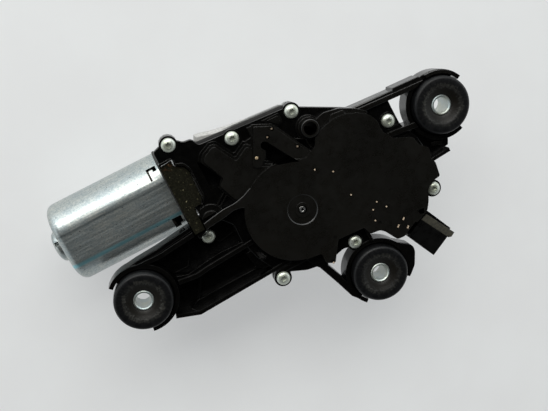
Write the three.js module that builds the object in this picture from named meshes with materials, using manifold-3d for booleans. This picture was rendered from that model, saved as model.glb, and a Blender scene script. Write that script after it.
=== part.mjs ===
// Rear-window wiper gear motor: a flattened DC motor drives a worm and wheel, and a crank and
// link turn the wheel's spin into the swing of the output spindle.
//
// Millimetres. x runs along the motor shaft, z up towards the plastic cover, and the origin is
// the end face of the output spindle. Inside this file every piece is drawn from the worm
// wheel's axis, and the last group moves the whole to the spindle.

import * as THREE from "three";
import { mergeVertices } from "three/addons/utils/BufferGeometryUtils.js";
import Module from "manifold-3d";

const wasm = await Module();
wasm.setup();

// ---------------------------------------------------------------- driving sizes

const RUN_GAP = 0.08; // radial clearance of a turning fit
const SEAT_GAP = 0.1; // gap between two fixed faces

const motor = { y: 37.7, z: 39, left: -125.5, right: -57.9, wall: 1.8, edge: 4.5 };
const canSize = { flat: 8.2, width: 23, height: 18 };
const shaftRadius = 3;
const worm = { root: 5, tip: 6.75, length: 22 };
const wheel = { teeth: 50, root: 30.2, tip: 32.1, low: 35, high: 43 };
const spindle = { x: 48, y: 2, radius: 5.5 };
const crank = { radius: 10, pin: 2.5 };
const lever = { radius: 14, low: 45, high: 48 };
const linkLow = 48.5;
const linkHigh = 51;

const housing = { low: 28, floor: 31, top: 60.4, wall: 3, round: 36.5, flange: 56.4, step: 7 };
const plate = { low: 61.5, high: 64, roof: 70, roofThick: 2.2 };
const arm = { low: 53, web: 55.5, high: 65, rib: 3 };
const ring = { inner: 17.2, outer: 19.8 };
const grommet = { low: 53, high: 70, outer: 16.2, neck: 12.4, grooveLow: 58.8, grooveHigh: 62.8 };
const bush = { low: 51.8, high: 68, bore: 4.3, outer: 5.6, flange: 9, flangeThick: 1.1 };

// Rubber mounts: centre, and the arc of the C-shaped ring round each, in degrees.
const mounts = [
  { x: 94.9, y: 15.6, from: 45, to: 291 },
  { x: 24.4, y: -55.3, from: -38, to: 225 },
  { x: -99.2, y: -4.4, from: -101, to: 134 },
];

// Cover screws: place, and the level that each head sits on.
const screws = [
  { x: -48.4, y: 64, seat: plate.high },
  { x: -16.8, y: 51.8, seat: plate.high },
  { x: 18.3, y: 50.1, seat: plate.high },
  { x: 64.7, y: 20.8, seat: plate.high },
  { x: 72.9, y: -26.3, seat: plate.high },
  { x: 19.3, y: -32.7, seat: plate.high },
  { x: -26.1, y: -31.8, seat: plate.high },
  { x: -52.4, y: 8.4, seat: 58.3 },
];
const screw = { head: 3.9, headHigh: 2.6, shank: 1.95, length: 10 };
const bossRadius = 5;
const bossDepth = 9; // from a screw head's seat to the underside of its boss

// ---------------------------------------------------------------- solids

function solid(geometry) {
  const plain = geometry.clone();
  plain.deleteAttribute("normal");
  plain.deleteAttribute("uv");
  const merged = mergeVertices(plain, 1e-4);
  const mesh = new wasm.Mesh({
    numProp: 3,
    vertProperties: new Float32Array(merged.attributes.position.array),
    triVerts: new Uint32Array(merged.index.array),
  });
  return new wasm.Manifold(mesh);
}

function geometryOf(body) {
  const mesh = body.getMesh();
  const geometry = new THREE.BufferGeometry();
  geometry.setAttribute("position", new THREE.BufferAttribute(new Float32Array(mesh.vertProperties), 3));
  geometry.setIndex(new THREE.BufferAttribute(new Uint32Array(mesh.triVerts), 1));
  geometry.computeVertexNormals();
  return geometry;
}

function join(...bodies) {
  return bodies.reduce((whole, next) => whole.add(next));
}

function cut(body, ...tools) {
  return tools.reduce((whole, next) => whole.subtract(next), body);
}

function degrees(angle) {
  return (angle * Math.PI) / 180;
}

function polar(radius, angle) {
  return [radius * Math.cos(angle), radius * Math.sin(angle)];
}

function spread(count) {
  return Array.from({ length: count }, (unused, i) => (2 * Math.PI * i) / count);
}

// A shape with sharp corners.
function sharp(points) {
  return new THREE.Shape(points.map(([x, y]) => new THREE.Vector2(x, y)));
}

function towards([x0, y0], [x1, y1], distance) {
  const length = Math.hypot(x1 - x0, y1 - y0);
  const share = Math.min(distance, length / 2.2) / length;
  return [x0 + (x1 - x0) * share, y0 + (y1 - y0) * share];
}

// The same outline with each corner rounded off.
function rounded(points, radius) {
  const shape = new THREE.Shape();
  points.forEach((corner, i) => {
    const before = points[(i + points.length - 1) % points.length];
    const after = points[(i + 1) % points.length];
    const start = towards(corner, before, radius);
    const end = towards(corner, after, radius);
    if (i === 0) shape.moveTo(...start);
    else shape.lineTo(...start);
    shape.quadraticCurveTo(...corner, ...end);
  });
  shape.closePath();
  return shape;
}

// Moves every side of a counter-clockwise outline inwards, or outwards if distance is negative.
function inset(points, distance) {
  return points.map((corner, i) => {
    const before = points[(i + points.length - 1) % points.length];
    const after = points[(i + 1) % points.length];
    const [ax, ay] = unit(before, corner);
    const [bx, by] = unit(corner, after);
    const grow = distance / (1 + ax * bx + ay * by);
    return [corner[0] - (ay + by) * grow, corner[1] + (ax + bx) * grow];
  });
}

function unit([x0, y0], [x1, y1]) {
  const length = Math.hypot(x1 - x0, y1 - y0);
  return [(x1 - x0) / length, (y1 - y0) / length];
}

function prism(shape, low, high, curveSegments = 2) {
  const geometry = new THREE.ExtrudeGeometry(shape, { depth: high - low, bevelEnabled: false, curveSegments });
  geometry.translate(0, 0, low);
  return solid(geometry);
}

function disc(x, y, radius, low, high, segments = 24, topRadius = radius) {
  const geometry = new THREE.CylinderGeometry(topRadius, radius, high - low, segments);
  geometry.rotateX(Math.PI / 2);
  geometry.translate(x, y, (low + high) / 2);
  return solid(geometry);
}

// A round rod along x.
function rod(left, right, radius, y = motor.y, z = motor.z, segments = 20) {
  const geometry = new THREE.CylinderGeometry(radius, radius, right - left, segments);
  geometry.rotateZ(Math.PI / 2);
  geometry.translate((left + right) / 2, y, z);
  return solid(geometry);
}

function box([x0, y0, z0], [x1, y1, z1]) {
  const geometry = new THREE.BoxGeometry(x1 - x0, y1 - y0, z1 - z0);
  geometry.translate((x0 + x1) / 2, (y0 + y1) / 2, (z0 + z1) / 2);
  return solid(geometry);
}

// A straight wall between two points, seen from above.
function wall(start, end, width, low, high) {
  const [dx, dy] = unit(start, end);
  const side = width / 2;
  const corners = [
    [start[0] + dy * side, start[1] - dx * side],
    [end[0] + dy * side, end[1] - dx * side],
    [end[0] - dy * side, end[1] + dx * side],
    [start[0] - dy * side, start[1] + dx * side],
  ];
  return prism(sharp(corners), low, high);
}

// Walls along a row of points, with round joints.
function rib(points, width, low, high) {
  const walls = points.slice(1).map((end, i) => wall(points[i], end, width, low, high));
  const joints = points.map(([x, y]) => disc(x, y, width / 2, low, high, 8));
  return join(...walls, ...joints);
}

function arcRing(x, y, inner, outer, from, to, low, high) {
  const shape = new THREE.Shape();
  shape.absarc(x, y, outer, degrees(from), degrees(to), false);
  shape.absarc(x, y, inner, degrees(to), degrees(from), true);
  shape.closePath();
  return prism(shape, low, high, 8);
}

// A turned piece: profile points are [radius, height], and its axis stands along z.
function turned(profile, segments = 24) {
  const points = profile.map(([radius, height]) => new THREE.Vector2(radius, height));
  const geometry = new THREE.LatheGeometry(points, segments);
  geometry.rotateX(Math.PI / 2);
  return geometry;
}

function turnedRing(inner, outer, low, high, segments = 24) {
  return turned([[inner, low], [outer, low], [outer, high], [inner, high], [inner, low]], segments);
}

// Turns a piece that stands along z so that its axis lies along x.
function alongX(geometry, x, y = motor.y, z = motor.z) {
  const turn = new THREE.Matrix4().makeBasis(
    new THREE.Vector3(0, 1, 0), new THREE.Vector3(0, 0, 1), new THREE.Vector3(1, 0, 0),
  );
  geometry.applyMatrix4(turn);
  geometry.translate(x, y, z);
  return geometry;
}

// ---------------------------------------------------------------- the model's group

const model = new THREE.Group();
model.position.set(-spindle.x, -spindle.y, 0);

function material(color, roughness, metalness) {
  return new THREE.MeshStandardMaterial({ color, roughness, metalness });
}

function add(name, shape, finish, [x, y, z] = [0, 0, 0]) {
  const geometry = shape.isBufferGeometry ? shape : geometryOf(shape);
  const mesh = new THREE.Mesh(geometry, finish);
  mesh.name = name;
  mesh.position.set(x, y, z);
  model.add(mesh);
}

const zincSteel = () => material(0xa9b0b3, 0.35, 1);
const brightSteel = () => material(0xc4c6c6, 0.25, 1);
const castAluminium = () => material(0x9a9b9a, 0.5, 0.9);
const blackPlastic = () => material(0x151512, 0.5, 0);
const rubber = () => material(0x26272a, 0.75, 0);
const bronze = () => material(0x9a7440, 0.5, 0.9);
const copper = () => material(0xb06a3a, 0.35, 1);
const ferrite = () => material(0x3a3836, 0.8, 0.1);

// ---------------------------------------------------------------- motor

// The can's cross-section: flat top and bottom, and round sides.
function canSection(shrink = 0) {
  const shape = new THREE.Shape();
  const side = canSize.width - canSize.flat - shrink;
  const high = canSize.height - shrink;
  shape.absellipse(canSize.flat, 0, side, high, -Math.PI / 2, Math.PI / 2, false, 0);
  shape.absellipse(-canSize.flat, 0, side, high, Math.PI / 2, 1.5 * Math.PI, false, 0);
  shape.closePath();
  return shape;
}

function sectionSolid(shrink, left, right, edge = 0) {
  const geometry = new THREE.ExtrudeGeometry(canSection(shrink), {
    depth: right - left - 2 * edge,
    bevelEnabled: edge > 0,
    bevelThickness: edge,
    bevelSize: edge,
    bevelOffset: -edge,
    bevelSegments: 3,
    curveSegments: 7,
  });
  return solid(alongX(geometry, left + edge));
}

const bearingBoss = { radius: 9.2, reach: 6, seat: 6.6 };
const bearingEnds = { left: -126.8, right: -119.4 };

function motorCan() {
  const openEnd = 12;
  const shell = sectionSolid(0, motor.left, motor.right + openEnd, motor.edge);
  const past = box([motor.right, 0, 0], [motor.right + 2 * openEnd, 80, 80]);
  const flange = sectionSolid(-1.6, motor.right - 1.5, motor.right);
  const inside = sectionSolid(motor.wall, motor.left + motor.wall, motor.right + openEnd);
  const { radius, reach, seat } = bearingBoss;
  const dome = [[0, 0], [radius, 0], [radius, reach - 4], [radius - 1.2, reach - 2], [radius - 4, reach - 0.5], [0, reach]];
  const domeGeometry = turned(dome, 28);
  domeGeometry.rotateY(-Math.PI / 2);
  domeGeometry.translate(motor.left + 0.4, motor.y, motor.z);
  const pocket = rod(bearingEnds.left - 1.2, motor.left + 8, seat, motor.y, motor.z, 32);
  const notches = [1, -1].map((side) => box(
    [motor.right - 8, motor.y + side * 15 - 3.2, motor.z + 8],
    [motor.right - 2.5, motor.y + side * 15 + 3.2, motor.z + 18],
  ));
  return cut(join(cut(shell, past), flange, solid(domeGeometry)), inside, pocket, ...notches);
}

const core = { left: -104, right: -76, radius: 14.6, hub: 5.6, slots: 8 };

function armatureCore() {
  const body = rod(core.left, core.right, core.radius, motor.y, motor.z, 32);
  const slots = spread(core.slots).map((angle) => {
    const [dy, dz] = polar(10.8, angle);
    const [my, mz] = polar(14.2, angle);
    const round = rod(core.left - 1, core.right + 1, 2.6, motor.y + dy, motor.z + dz, 8);
    const mouth = rod(core.left - 1, core.right + 1, 1.1, motor.y + my, motor.z + mz, 4);
    return round.add(mouth);
  });
  const bore = rod(core.left - 1, core.right + 1, shaftRadius + SEAT_GAP);
  return cut(body, bore, ...slots);
}

const shaftEnds = { left: -126.5, right: 19 };

// The worm's radius: flat tips and roots with straight flanks. One thread faces the wheel at x = 0.
function threadRadius(x, angle) {
  const pitch = (Math.PI * (wheel.root + wheel.tip)) / wheel.teeth;
  const turns = x / pitch - (angle - Math.PI) / (2 * Math.PI);
  const away = Math.abs(turns - Math.round(turns));
  const rise = THREE.MathUtils.clamp((0.3 - away) / 0.17, 0, 1);
  return worm.root + (worm.tip - worm.root) * rise;
}

// Shaft and worm as one closed surface: rings of points along x, each with its own radius.
function armatureShaft() {
  const sides = 16;
  const columns = 44;
  const half = worm.length / 2;
  const shaft = () => shaftRadius;
  const root = () => worm.root;
  const threads = Array.from({ length: columns + 1 }, (unused, i) => {
    const x = -half + (worm.length * i) / columns;
    return [x, (angle) => threadRadius(x, angle)];
  });
  const rings = [
    [shaftEnds.left, shaft], [-half - 1, shaft], [-half - 1, root], [-half - 0.4, root],
    ...threads,
    [half + 0.4, root], [half + 1, root], [half + 1, shaft], [shaftEnds.right, shaft],
  ];
  const positions = rings.flatMap(([x, radiusAt]) => Array.from({ length: sides }, (unused, side) => {
    const angle = (2 * Math.PI * side) / sides;
    const [dy, dz] = polar(radiusAt(angle), angle);
    return [x, motor.y + dy, motor.z + dz];
  })).flat();
  const index = [];
  for (let ring = 0; ring + 1 < rings.length; ring += 1) {
    for (let side = 0; side < sides; side += 1) {
      const a = ring * sides + side;
      const b = ring * sides + ((side + 1) % sides);
      index.push(a, b, b + sides, a, b + sides, a + sides);
    }
  }
  const last = (rings.length - 1) * sides;
  for (let side = 1; side + 1 < sides; side += 1) {
    index.push(0, side + 1, side, last, last + side, last + side + 1);
  }
  const geometry = new THREE.BufferGeometry();
  geometry.setAttribute("position", new THREE.Float32BufferAttribute(positions, 3));
  geometry.setIndex(index);
  return geometry;
}

function windingHead(left, right) {
  const outer = 13;
  const inner = shaftRadius + 0.2;
  const soft = 2.4;
  const profile = [
    [inner, left], [outer - soft, left], [outer, left + soft], [outer, right - soft],
    [outer - soft, right], [inner, right], [inner, left],
  ];
  return alongX(turned(profile, 16), 0);
}

function commutator() {
  const bars = spread(8).map((angle) => {
    const [dy, dz] = polar(commutatorSize.radius + 0.2, angle + 0.2);
    return rod(commutatorSize.left - 1, commutatorSize.right + 1, 0.45, motor.y + dy, motor.z + dz, 6);
  });
  const body = rod(commutatorSize.left, commutatorSize.right, commutatorSize.radius, motor.y, motor.z, 32);
  return cut(body, rod(commutatorSize.left - 1, commutatorSize.right + 1, shaftRadius + SEAT_GAP), ...bars);
}

const commutatorSize = { left: -67, right: -55.5, radius: 6.4 };

function magnet(side) {
  const geometry = new THREE.ExtrudeGeometry(magnetSection(side), { depth: 36, bevelEnabled: false, curveSegments: 8 });
  return alongX(geometry, -108);
}

function magnetSection(side) {
  const middle = side > 0 ? 0 : 180;
  const reach = 37;
  const shape = new THREE.Shape();
  shape.absarc(0, 0, 20.2, degrees(middle - reach), degrees(middle + reach), false);
  shape.absarc(0, 0, 15.3, degrees(middle + reach), degrees(middle - reach), true);
  shape.closePath();
  return shape;
}

const brush = { left: -63.8, right: -58.8, half: 3, inner: 6.6, outer: 11.6 };
const brushBox = { left: -64.9, right: -58.05, half: 4.4, outer: 15.4, gap: 0.15 };

function brushHolder() {
  const base = sectionSolid(2.4, -68.6, -66.6 + 1.9);
  const hole = rod(-70, -50, 8);
  const boxes = [1, -1].map((side) => spanZ(
    [brushBox.left, motor.y - brushBox.half], [brushBox.right, motor.y + brushBox.half], side, 7.4, brushBox.outer,
  ));
  const channels = [1, -1].map((side) => spanZ(
    [brush.left - brushBox.gap, motor.y - brush.half - brushBox.gap],
    [brush.right + brushBox.gap, motor.y + brush.half + brushBox.gap],
    side, 0, brushBox.outer - 0.8,
  ));
  return cut(join(base, ...boxes), hole, ...channels);
}

// A block between two distances above (side 1) or below (side -1) the motor shaft.
function spanZ([x0, y0], [x1, y1], side, near, far) {
  const ends = [motor.z + side * near, motor.z + side * far];
  return box([x0, y0, Math.min(...ends)], [x1, y1, Math.max(...ends)]);
}

function brushBlock(side) {
  return spanZ(
    [brush.left, motor.y - brush.half], [brush.right, motor.y + brush.half], side, brush.inner, brush.outer,
  );
}

// A short coil spring from the brush's outer end to the roof of its box.
function brushSpring(side) {
  const low = brush.outer + 0.35;
  const high = brushBox.outer - 1.15;
  const turns = 2.5;
  const radius = 1.9;
  const points = Array.from({ length: 26 }, (unused, i) => {
    const share = i / 25;
    const angle = 2 * Math.PI * turns * share;
    const [dx, dy] = polar(radius, angle);
    return new THREE.Vector3((brush.left + brush.right) / 2 + dx, motor.y + dy, motor.z + side * (low + (high - low) * share));
  });
  const wire = new THREE.Shape();
  wire.absarc(0, 0, 0.22, 0, 2 * Math.PI, false);
  return new THREE.ExtrudeGeometry(wire, {
    extrudePath: new THREE.CatmullRomCurve3(points),
    steps: 22,
    curveSegments: 2,
    bevelEnabled: false,
  });
}

function buildMotor() {
  add("motor_can", motorCan(), zincSteel());
  add("rear_bearing", alongX(turnedRing(shaftRadius + RUN_GAP, bearingBoss.seat - 0.1, bearingEnds.left, bearingEnds.right), 0), bronze());
  add("magnet_front", magnet(1), ferrite());
  add("magnet_rear", magnet(-1), ferrite());
  add("armature_shaft", armatureShaft(), brightSteel());
  add("armature_core", armatureCore(), material(0x6d6f70, 0.5, 1));
  add("winding_rear", windingHead(core.left - 8.2, core.left - 0.2), copper());
  add("winding_front", windingHead(core.right + 0.2, core.right + 6.6), copper());
  add("commutator", commutator(), copper());
  add("brush_holder", brushHolder(), material(0x2b2a26, 0.6, 0));
  add("brush_upper", brushBlock(1), material(0x303030, 0.6, 0.2));
  add("brush_lower", brushBlock(-1), material(0x303030, 0.6, 0.2));
  add("brush_spring_upper", brushSpring(1), brightSteel());
  add("brush_spring_lower", brushSpring(-1), brightSteel());
}

// ---------------------------------------------------------------- gear housing

// The flange under the cover. Below the flange the body stands further in all round.
const housingOutline = [
  [-50, 19], [-38, 12], [-34, -5], [-26, -26], [0, -36], [12, -32.5], [34, -31.5], [58, -33],
  [66, -30.5], [75.5, -20.5], [77, -12], [76, 3], [70.3, 15], [69.5, 24.5], [60, 29.5],
  [46, 37.2], [24, 49.2], [17, 55.4], [-34, 59], [-50, 60],
];
const spindleWell = 22;
const spindleBoss = { radius: 10.5, low: 20.5 };
const bulkhead = { left: -31, right: -24.5 };
const thrustWall = { left: 16, right: 24 };
const wormBearing = { outer: 6, inner: shaftRadius + RUN_GAP };

// Round bosses for the cover screws. The lowest screw has a lower boss of its own.
function screwBosses(radius, top) {
  return screws.map(({ x, y, seat }) => disc(x, y, radius, seat - bossDepth, Math.min(seat - 5.5, top), 14));
}

// Short walls that tie the outer screw bosses to the housing: boss, housing side, width.
const bossTies = [
  [[-48.4, 64], [-46, 56], 9],
  [[-26.1, -31.8], [-20, -24], 9],
  [[19.3, -32.7], [19.3, -24], 8],
  [[72.9, -26.3], [64, -22], 9],
];

// Everything that the housing fills, without its hollow, grown where the cover has to clear it.
function housingBlock(grow = 0, top = housing.top) {
  const ties = bossTies.map(([boss, side, width]) => wall(boss, side, width + 2 * grow, plate.high - bossDepth, top));
  return join(
    prism(rounded(inset(housingOutline, -grow), 3), housing.flange - grow, top, 1),
    prism(rounded(inset(housingOutline, housing.step - grow), 3), housing.low, top, 1),
    disc(0, 0, housing.round + grow, housing.low, top, 48),
    disc(spindle.x, spindle.y, spindleWell + housing.wall + grow, housing.low, top, 32),
    wall([-52.4, 8.4], [-31, 18], 7 + 2 * grow, 47, 52.6),
    sectionSolid(-grow, motor.right + 0.4 - grow, -53.4 + grow),
    sectionSolid(3.4, -54, -38),
    ...ties,
    ...screwBosses(bossRadius + grow, top),
  );
}

function housingCavity() {
  const { floor, top, wall: thick, round, flange, step } = housing;
  return join(
    prism(rounded(inset(housingOutline, thick), 2), flange + thick, top + 1),
    prism(rounded(inset(housingOutline, step + thick), 2), floor, top + 1),
    disc(0, 0, round - thick, floor, top + 1, 48),
    disc(spindle.x, spindle.y, spindleWell, floor, top + 1, 32),
  );
}

function undersideRibs() {
  const ends = [[20, -26], [64, -18], [62, 18], [20, 40]];
  const fromSpindle = ends.map((end) => wall([spindle.x, spindle.y], end, 2.2, housing.low - 4, housing.low + 1));
  const fromWheel = [[-20, -26], [-30, 10], [-12, 45]].map((end) => wall([0, 0], end, 2.2, housing.low - 3, housing.low + 1));
  return [...fromSpindle, ...fromWheel];
}

function gearHousing() {
  const solids = join(
    housingBlock(), ...undersideRibs(),
    disc(spindle.x, spindle.y, spindleBoss.radius, spindleBoss.low, housing.low + 1, 28, spindleBoss.radius + 3),
    disc(0, 0, 9, housing.low - 3, housing.low + 1, 32),
  );
  const inner = join(
    box([bulkhead.left, motor.y - 9.5, housing.floor - 1], [bulkhead.right, motor.y + 9.5, motor.z + 9.5]),
    box([thrustWall.left, motor.y - 6.5, housing.floor - 1], [thrustWall.right, motor.y + 6.5, motor.z + 7]),
    disc(spindle.x, spindle.y, 9.3, housing.floor - 1, 43.5, 24),
    disc(0, 0, 6, housing.floor - 1, 34.2, 32),
  );
  const hollow = cut(housingCavity(), inner);
  const holes = screws.map(({ x, y, seat }) => disc(x, y, screw.shank + 0.1, seat - 13, housing.top + 1, 10));
  return cut(
    solids, hollow, ...holes,
    rod(motor.right, -44, 11.8),
    rod(-46, thrustWall.left - 1, shaftRadius + 0.6),
    rod(bulkhead.left - 1, bulkhead.right + 1, wormBearing.outer + 0.08),
    rod(thrustWall.left - 1, shaftEnds.right + 1.6, shaftRadius + RUN_GAP),
    rod(-18, 14.5, worm.tip + 1.2),
    disc(spindle.x, spindle.y, 8.08, 10, 60, 24),
    disc(0, 0, 3.55, 29.5, 50, 24),
  );
}

function gasket() {
  const low = housing.top + SEAT_GAP;
  const high = plate.low - SEAT_GAP;
  const strip = 2;
  const outer = join(
    prism(rounded(inset(housingOutline, 0.5), 3), low, high),
    disc(0, 0, housing.round - 0.5, low, high, 48),
    disc(spindle.x, spindle.y, spindleWell + housing.wall - 0.5, low, high, 36),
  );
  const inner = join(
    prism(rounded(inset(housingOutline, 0.5 + strip), 2), low - 1, high + 1),
    disc(0, 0, housing.round - 0.5 - strip, low - 1, high + 1, 36),
    disc(spindle.x, spindle.y, spindleWell + housing.wall - 0.5 - strip, low - 1, high + 1, 36),
  );
  const holes = screws.map(({ x, y }) => disc(x, y, screw.shank + 0.4, low - 1, high + 1, 8));
  return cut(outer, inner, ...holes);
}

// ---------------------------------------------------------------- gear train and spindle

function wormWheel() {
  const step = (2 * Math.PI) / wheel.teeth;
  const outline = spread(wheel.teeth).flatMap((middle) => {
    const turn = middle + Math.PI / 2 + step / 2;
    return [
      polar(wheel.root, turn - 0.3 * step), polar(wheel.tip, turn - 0.12 * step),
      polar(wheel.tip, turn + 0.12 * step), polar(wheel.root, turn + 0.3 * step),
    ];
  });
  const body = prism(sharp(outline), wheel.low, wheel.high);
  const hub = disc(0, 0, 6.5, wheel.low - 0.6, wheel.high + 1);
  const recess = cut(disc(0, 0, 26.5, wheel.high - 1.6, wheel.high + 2, 36), disc(0, 0, 15.5, 0, 60, 24));
  const crankHole = disc(crank.radius, 0, crank.pin + 0.03, wheel.low + 1.5, 60, 20);
  const bore = disc(0, 0, 3.5 + RUN_GAP, 0, 60, 24);
  return cut(join(body, hub), recess, bore, crankHole);
}

// The lever stands straight down from the spindle at rest, in the middle of its swing.
const leverEnd = [spindle.x, spindle.y - lever.radius];
const linkEnd = [crank.radius, 0];

function driveLink() {
  const bodies = join(
    disc(...leverEnd, 5, linkLow, linkHigh, 16),
    disc(...linkEnd, 5.2, linkLow, linkHigh, 16),
    wall(leverEnd, linkEnd, 6.4, linkLow, linkHigh),
  );
  return cut(
    bodies,
    disc(...leverEnd, 2.5 + RUN_GAP, 40, 60, 20),
    disc(...linkEnd, crank.pin + 0.3, 40, 60, 20),
  );
}

function outputLever() {
  const bodies = join(
    disc(spindle.x, spindle.y, 8.4, lever.low, lever.high, 20),
    disc(...leverEnd, 4.6, lever.low, lever.high, 16),
    wall([spindle.x, spindle.y], leverEnd, 8, lever.low, lever.high),
  );
  return cut(
    bodies,
    disc(spindle.x, spindle.y, spindle.radius + 0.03, 40, 60, 24),
    disc(...leverEnd, 2.53, 40, 60, 20),
  );
}

const cone = { low: 8.6, high: 16, narrow: 4.3, wide: 5.4, teeth: 24 };

// The wiper arm's seat: a tapered, knurled stretch of the spindle.
function knurledCone() {
  const outline = spread(cone.teeth).flatMap((angle) => {
    const half = Math.PI / cone.teeth;
    return [polar(cone.wide, angle), polar(cone.wide - 0.45, angle + half)];
  });
  const geometry = new THREE.ExtrudeGeometry(sharp(outline), { depth: cone.high - cone.low, bevelEnabled: false });
  const position = geometry.attributes.position;
  for (let i = 0; i < position.count; i += 1) {
    const taper = position.getZ(i) > 0 ? 1 : cone.narrow / cone.wide;
    position.setXY(i, position.getX(i) * taper, position.getY(i) * taper);
  }
  geometry.translate(0, 0, cone.low);
  return solid(geometry);
}

// Closed rings stand in for the thread's helix.
function threadedEnd() {
  const crest = 4;
  const root = 3.45;
  const pitch = 1.5;
  const rows = 5;
  const profile = [[0, 0], [root, 0]];
  for (let i = 0; i < rows; i += 1) {
    profile.push([crest, 0.45 + i * pitch], [root, 0.45 + (i + 0.5) * pitch]);
  }
  profile.push([root, cone.low + 0.2], [0, cone.low + 0.2]);
  return solid(turned(profile, 16));
}

function outputSpindle() {
  const top = linkLow - 0.2;
  const groove = { low: 43.7, high: 44.7, radius: 4.9 };
  const profile = [
    [0, cone.high - 0.2], [5, cone.high - 0.2], [spindle.radius, cone.high + 1],
    [spindle.radius, groove.low], [groove.radius, groove.low], [groove.radius, groove.high],
    [spindle.radius, groove.high], [spindle.radius, top], [0, top],
  ];
  const body = join(solid(turned(profile, 24)), knurledCone(), threadedEnd());
  return geometryOf(body);
}

function buildGears() {
  const bearingOuter = 8;
  add("worm_bearing", alongX(turnedRing(wormBearing.inner, wormBearing.outer, bulkhead.left + 0.1, bulkhead.right - 0.1), 0), bronze());
  add("thrust_button", alongX(turned([[0, 0], [2.6, 0], [2.6, 1], [0, 1.4]], 20), shaftEnds.right + 0.1), brightSteel());
  add("worm_wheel", wormWheel(), material(0xd8d2bd, 0.6, 0));
  add("wheel_axle", disc(0, 0, 3.5, 29.6, wheel.high + 1.2), brightSteel());
  add("crank_pin", disc(crank.radius, 0, crank.pin, wheel.low + 1.6, linkLow - 0.3, 20), brightSteel());
  add("drive_link", driveLink(), material(0x8b8d8e, 0.45, 1));
  add("output_lever", outputLever(), material(0x8b8d8e, 0.45, 1));
  add("lever_pin", disc(...leverEnd, 2.5, lever.low, linkHigh + 0.8, 20), brightSteel());
  add("output_spindle", outputSpindle(), brightSteel(), [spindle.x, spindle.y, 0]);
  const at = [spindle.x, spindle.y, 0];
  add("spindle_bearing_lower", turnedRing(spindle.radius + RUN_GAP, bearingOuter, 20.6, 29), bronze(), at);
  add("spindle_bearing_upper", turnedRing(spindle.radius + RUN_GAP, bearingOuter, 35, 43.4), bronze(), at);
  const sealProfile = [[5.62, 17.4], [7.6, 17.4], [9.6, 20.3], [5.62, 20.3], [5.62, 17.4]];
  add("spindle_seal", turned(sealProfile), rubber(), at);
  add("retaining_ring", turnedRing(5, 7.4, 43.8, 44.6), brightSteel(), at);
}

// ---------------------------------------------------------------- plastic cover and bracket

const plateOutline = [
  [-57.3, 10], [-44, 16.8], [-37.2, 9], [-37.4, -2], [-34, -14], [-27, -28], [-12, -34.6], [0, -36.6],
  [12, -33.4], [26, -38], [31, -31.4], [58, -35], [67.1, -30.8], [73.3, -22], [78.8, -20.6],
  [79.4, -11], [78, -3], [76.5, 5], [70.4, 16], [69.6, 27.5], [58, 30.5], [46.3, 38.4],
  [23.3, 50.4], [16.2, 53.6], [-34.1, 57], [-36.2, 61.4], [-41, 62], [-43.6, 64.6], [-51.7, 66], [-57.4, 64.2],
];

const roofOutline = [
  [-10.6, -26.5], [-1.2, -27.8], [-1.2, -34], [3.6, -36.4], [7.2, -30.4], [10.7, -25], [26.7, -26],
  [28.2, -31], [34, -31.6], [36.4, -33.7], [41.1, -41.4], [46, -41.8], [61, -35.6], [63.5, -34.3], [66.3, -29.7],
  [68.7, -23.4], [73.3, -20.4], [77.9, -19.8], [78.6, -11], [77.1, -8.8], [78.4, -2], [73.8, 2.2],
  [72.4, 7.7], [62.2, 12], [58, 18.5], [58, 24.7], [55.1, 30.2], [49.6, 34.2], [42.4, 36.8],
  [36, 37.2], [27.7, 35.2], [23, 32.2], [21, 28.4], [14, 25], [8, 26.4], [-4, 12],
];
const gearCover = { x: -3.4, y: 1.4, radius: 28.2 };

const wiringBlock = [
  [-36.4, 48], [-34, 32.8], [-30.5, 23.4], [-20, 21.5], [-10, 30], [-9.8, 41.8], [-11.8, 45], [-20.8, 40.7], [-27, 54],
];
const hookStrip = [
  [-3.6, 54.2], [-11, 40.5], [-14.2, 35.6], [-11.8, 31.9], [-8.7, 32], [-5.2, 36.6], [-4.3, 43.6],
  [-0.7, 42.9], [9.4, 24.4], [19.4, 23.2], [6.3, 49.4],
];
const brushCoverOutline = [
  [-58.2, 13.6], [-52, 13.8], [-51.6, 27.4], [-47.4, 27.6], [-45.6, 31], [-45, 46.8], [-46.5, 50],
  [-51.2, 52.6], [-51, 55.8], [-58.2, 55.2],
];
const connector = { x: 54, y: -39.2, turn: 27.5, half: 7.8, reach: 20.5, low: 51, high: 68.5, shell: 1.6 };

function ringAndWeb({ x, y, from, to }) {
  const tall = arcRing(x, y, ring.inner, ring.outer, from, to, arm.low + 1, arm.high);
  const seat = arcRing(x, y, grommet.neck + 0.25, ring.inner + 1, from + 12, to - 12, grommet.grooveLow + 0.25, grommet.grooveHigh - 0.25);
  return tall.add(seat);
}

function ringWell({ x, y }) {
  return disc(x, y, ring.inner, 0, 90, 32);
}

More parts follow.
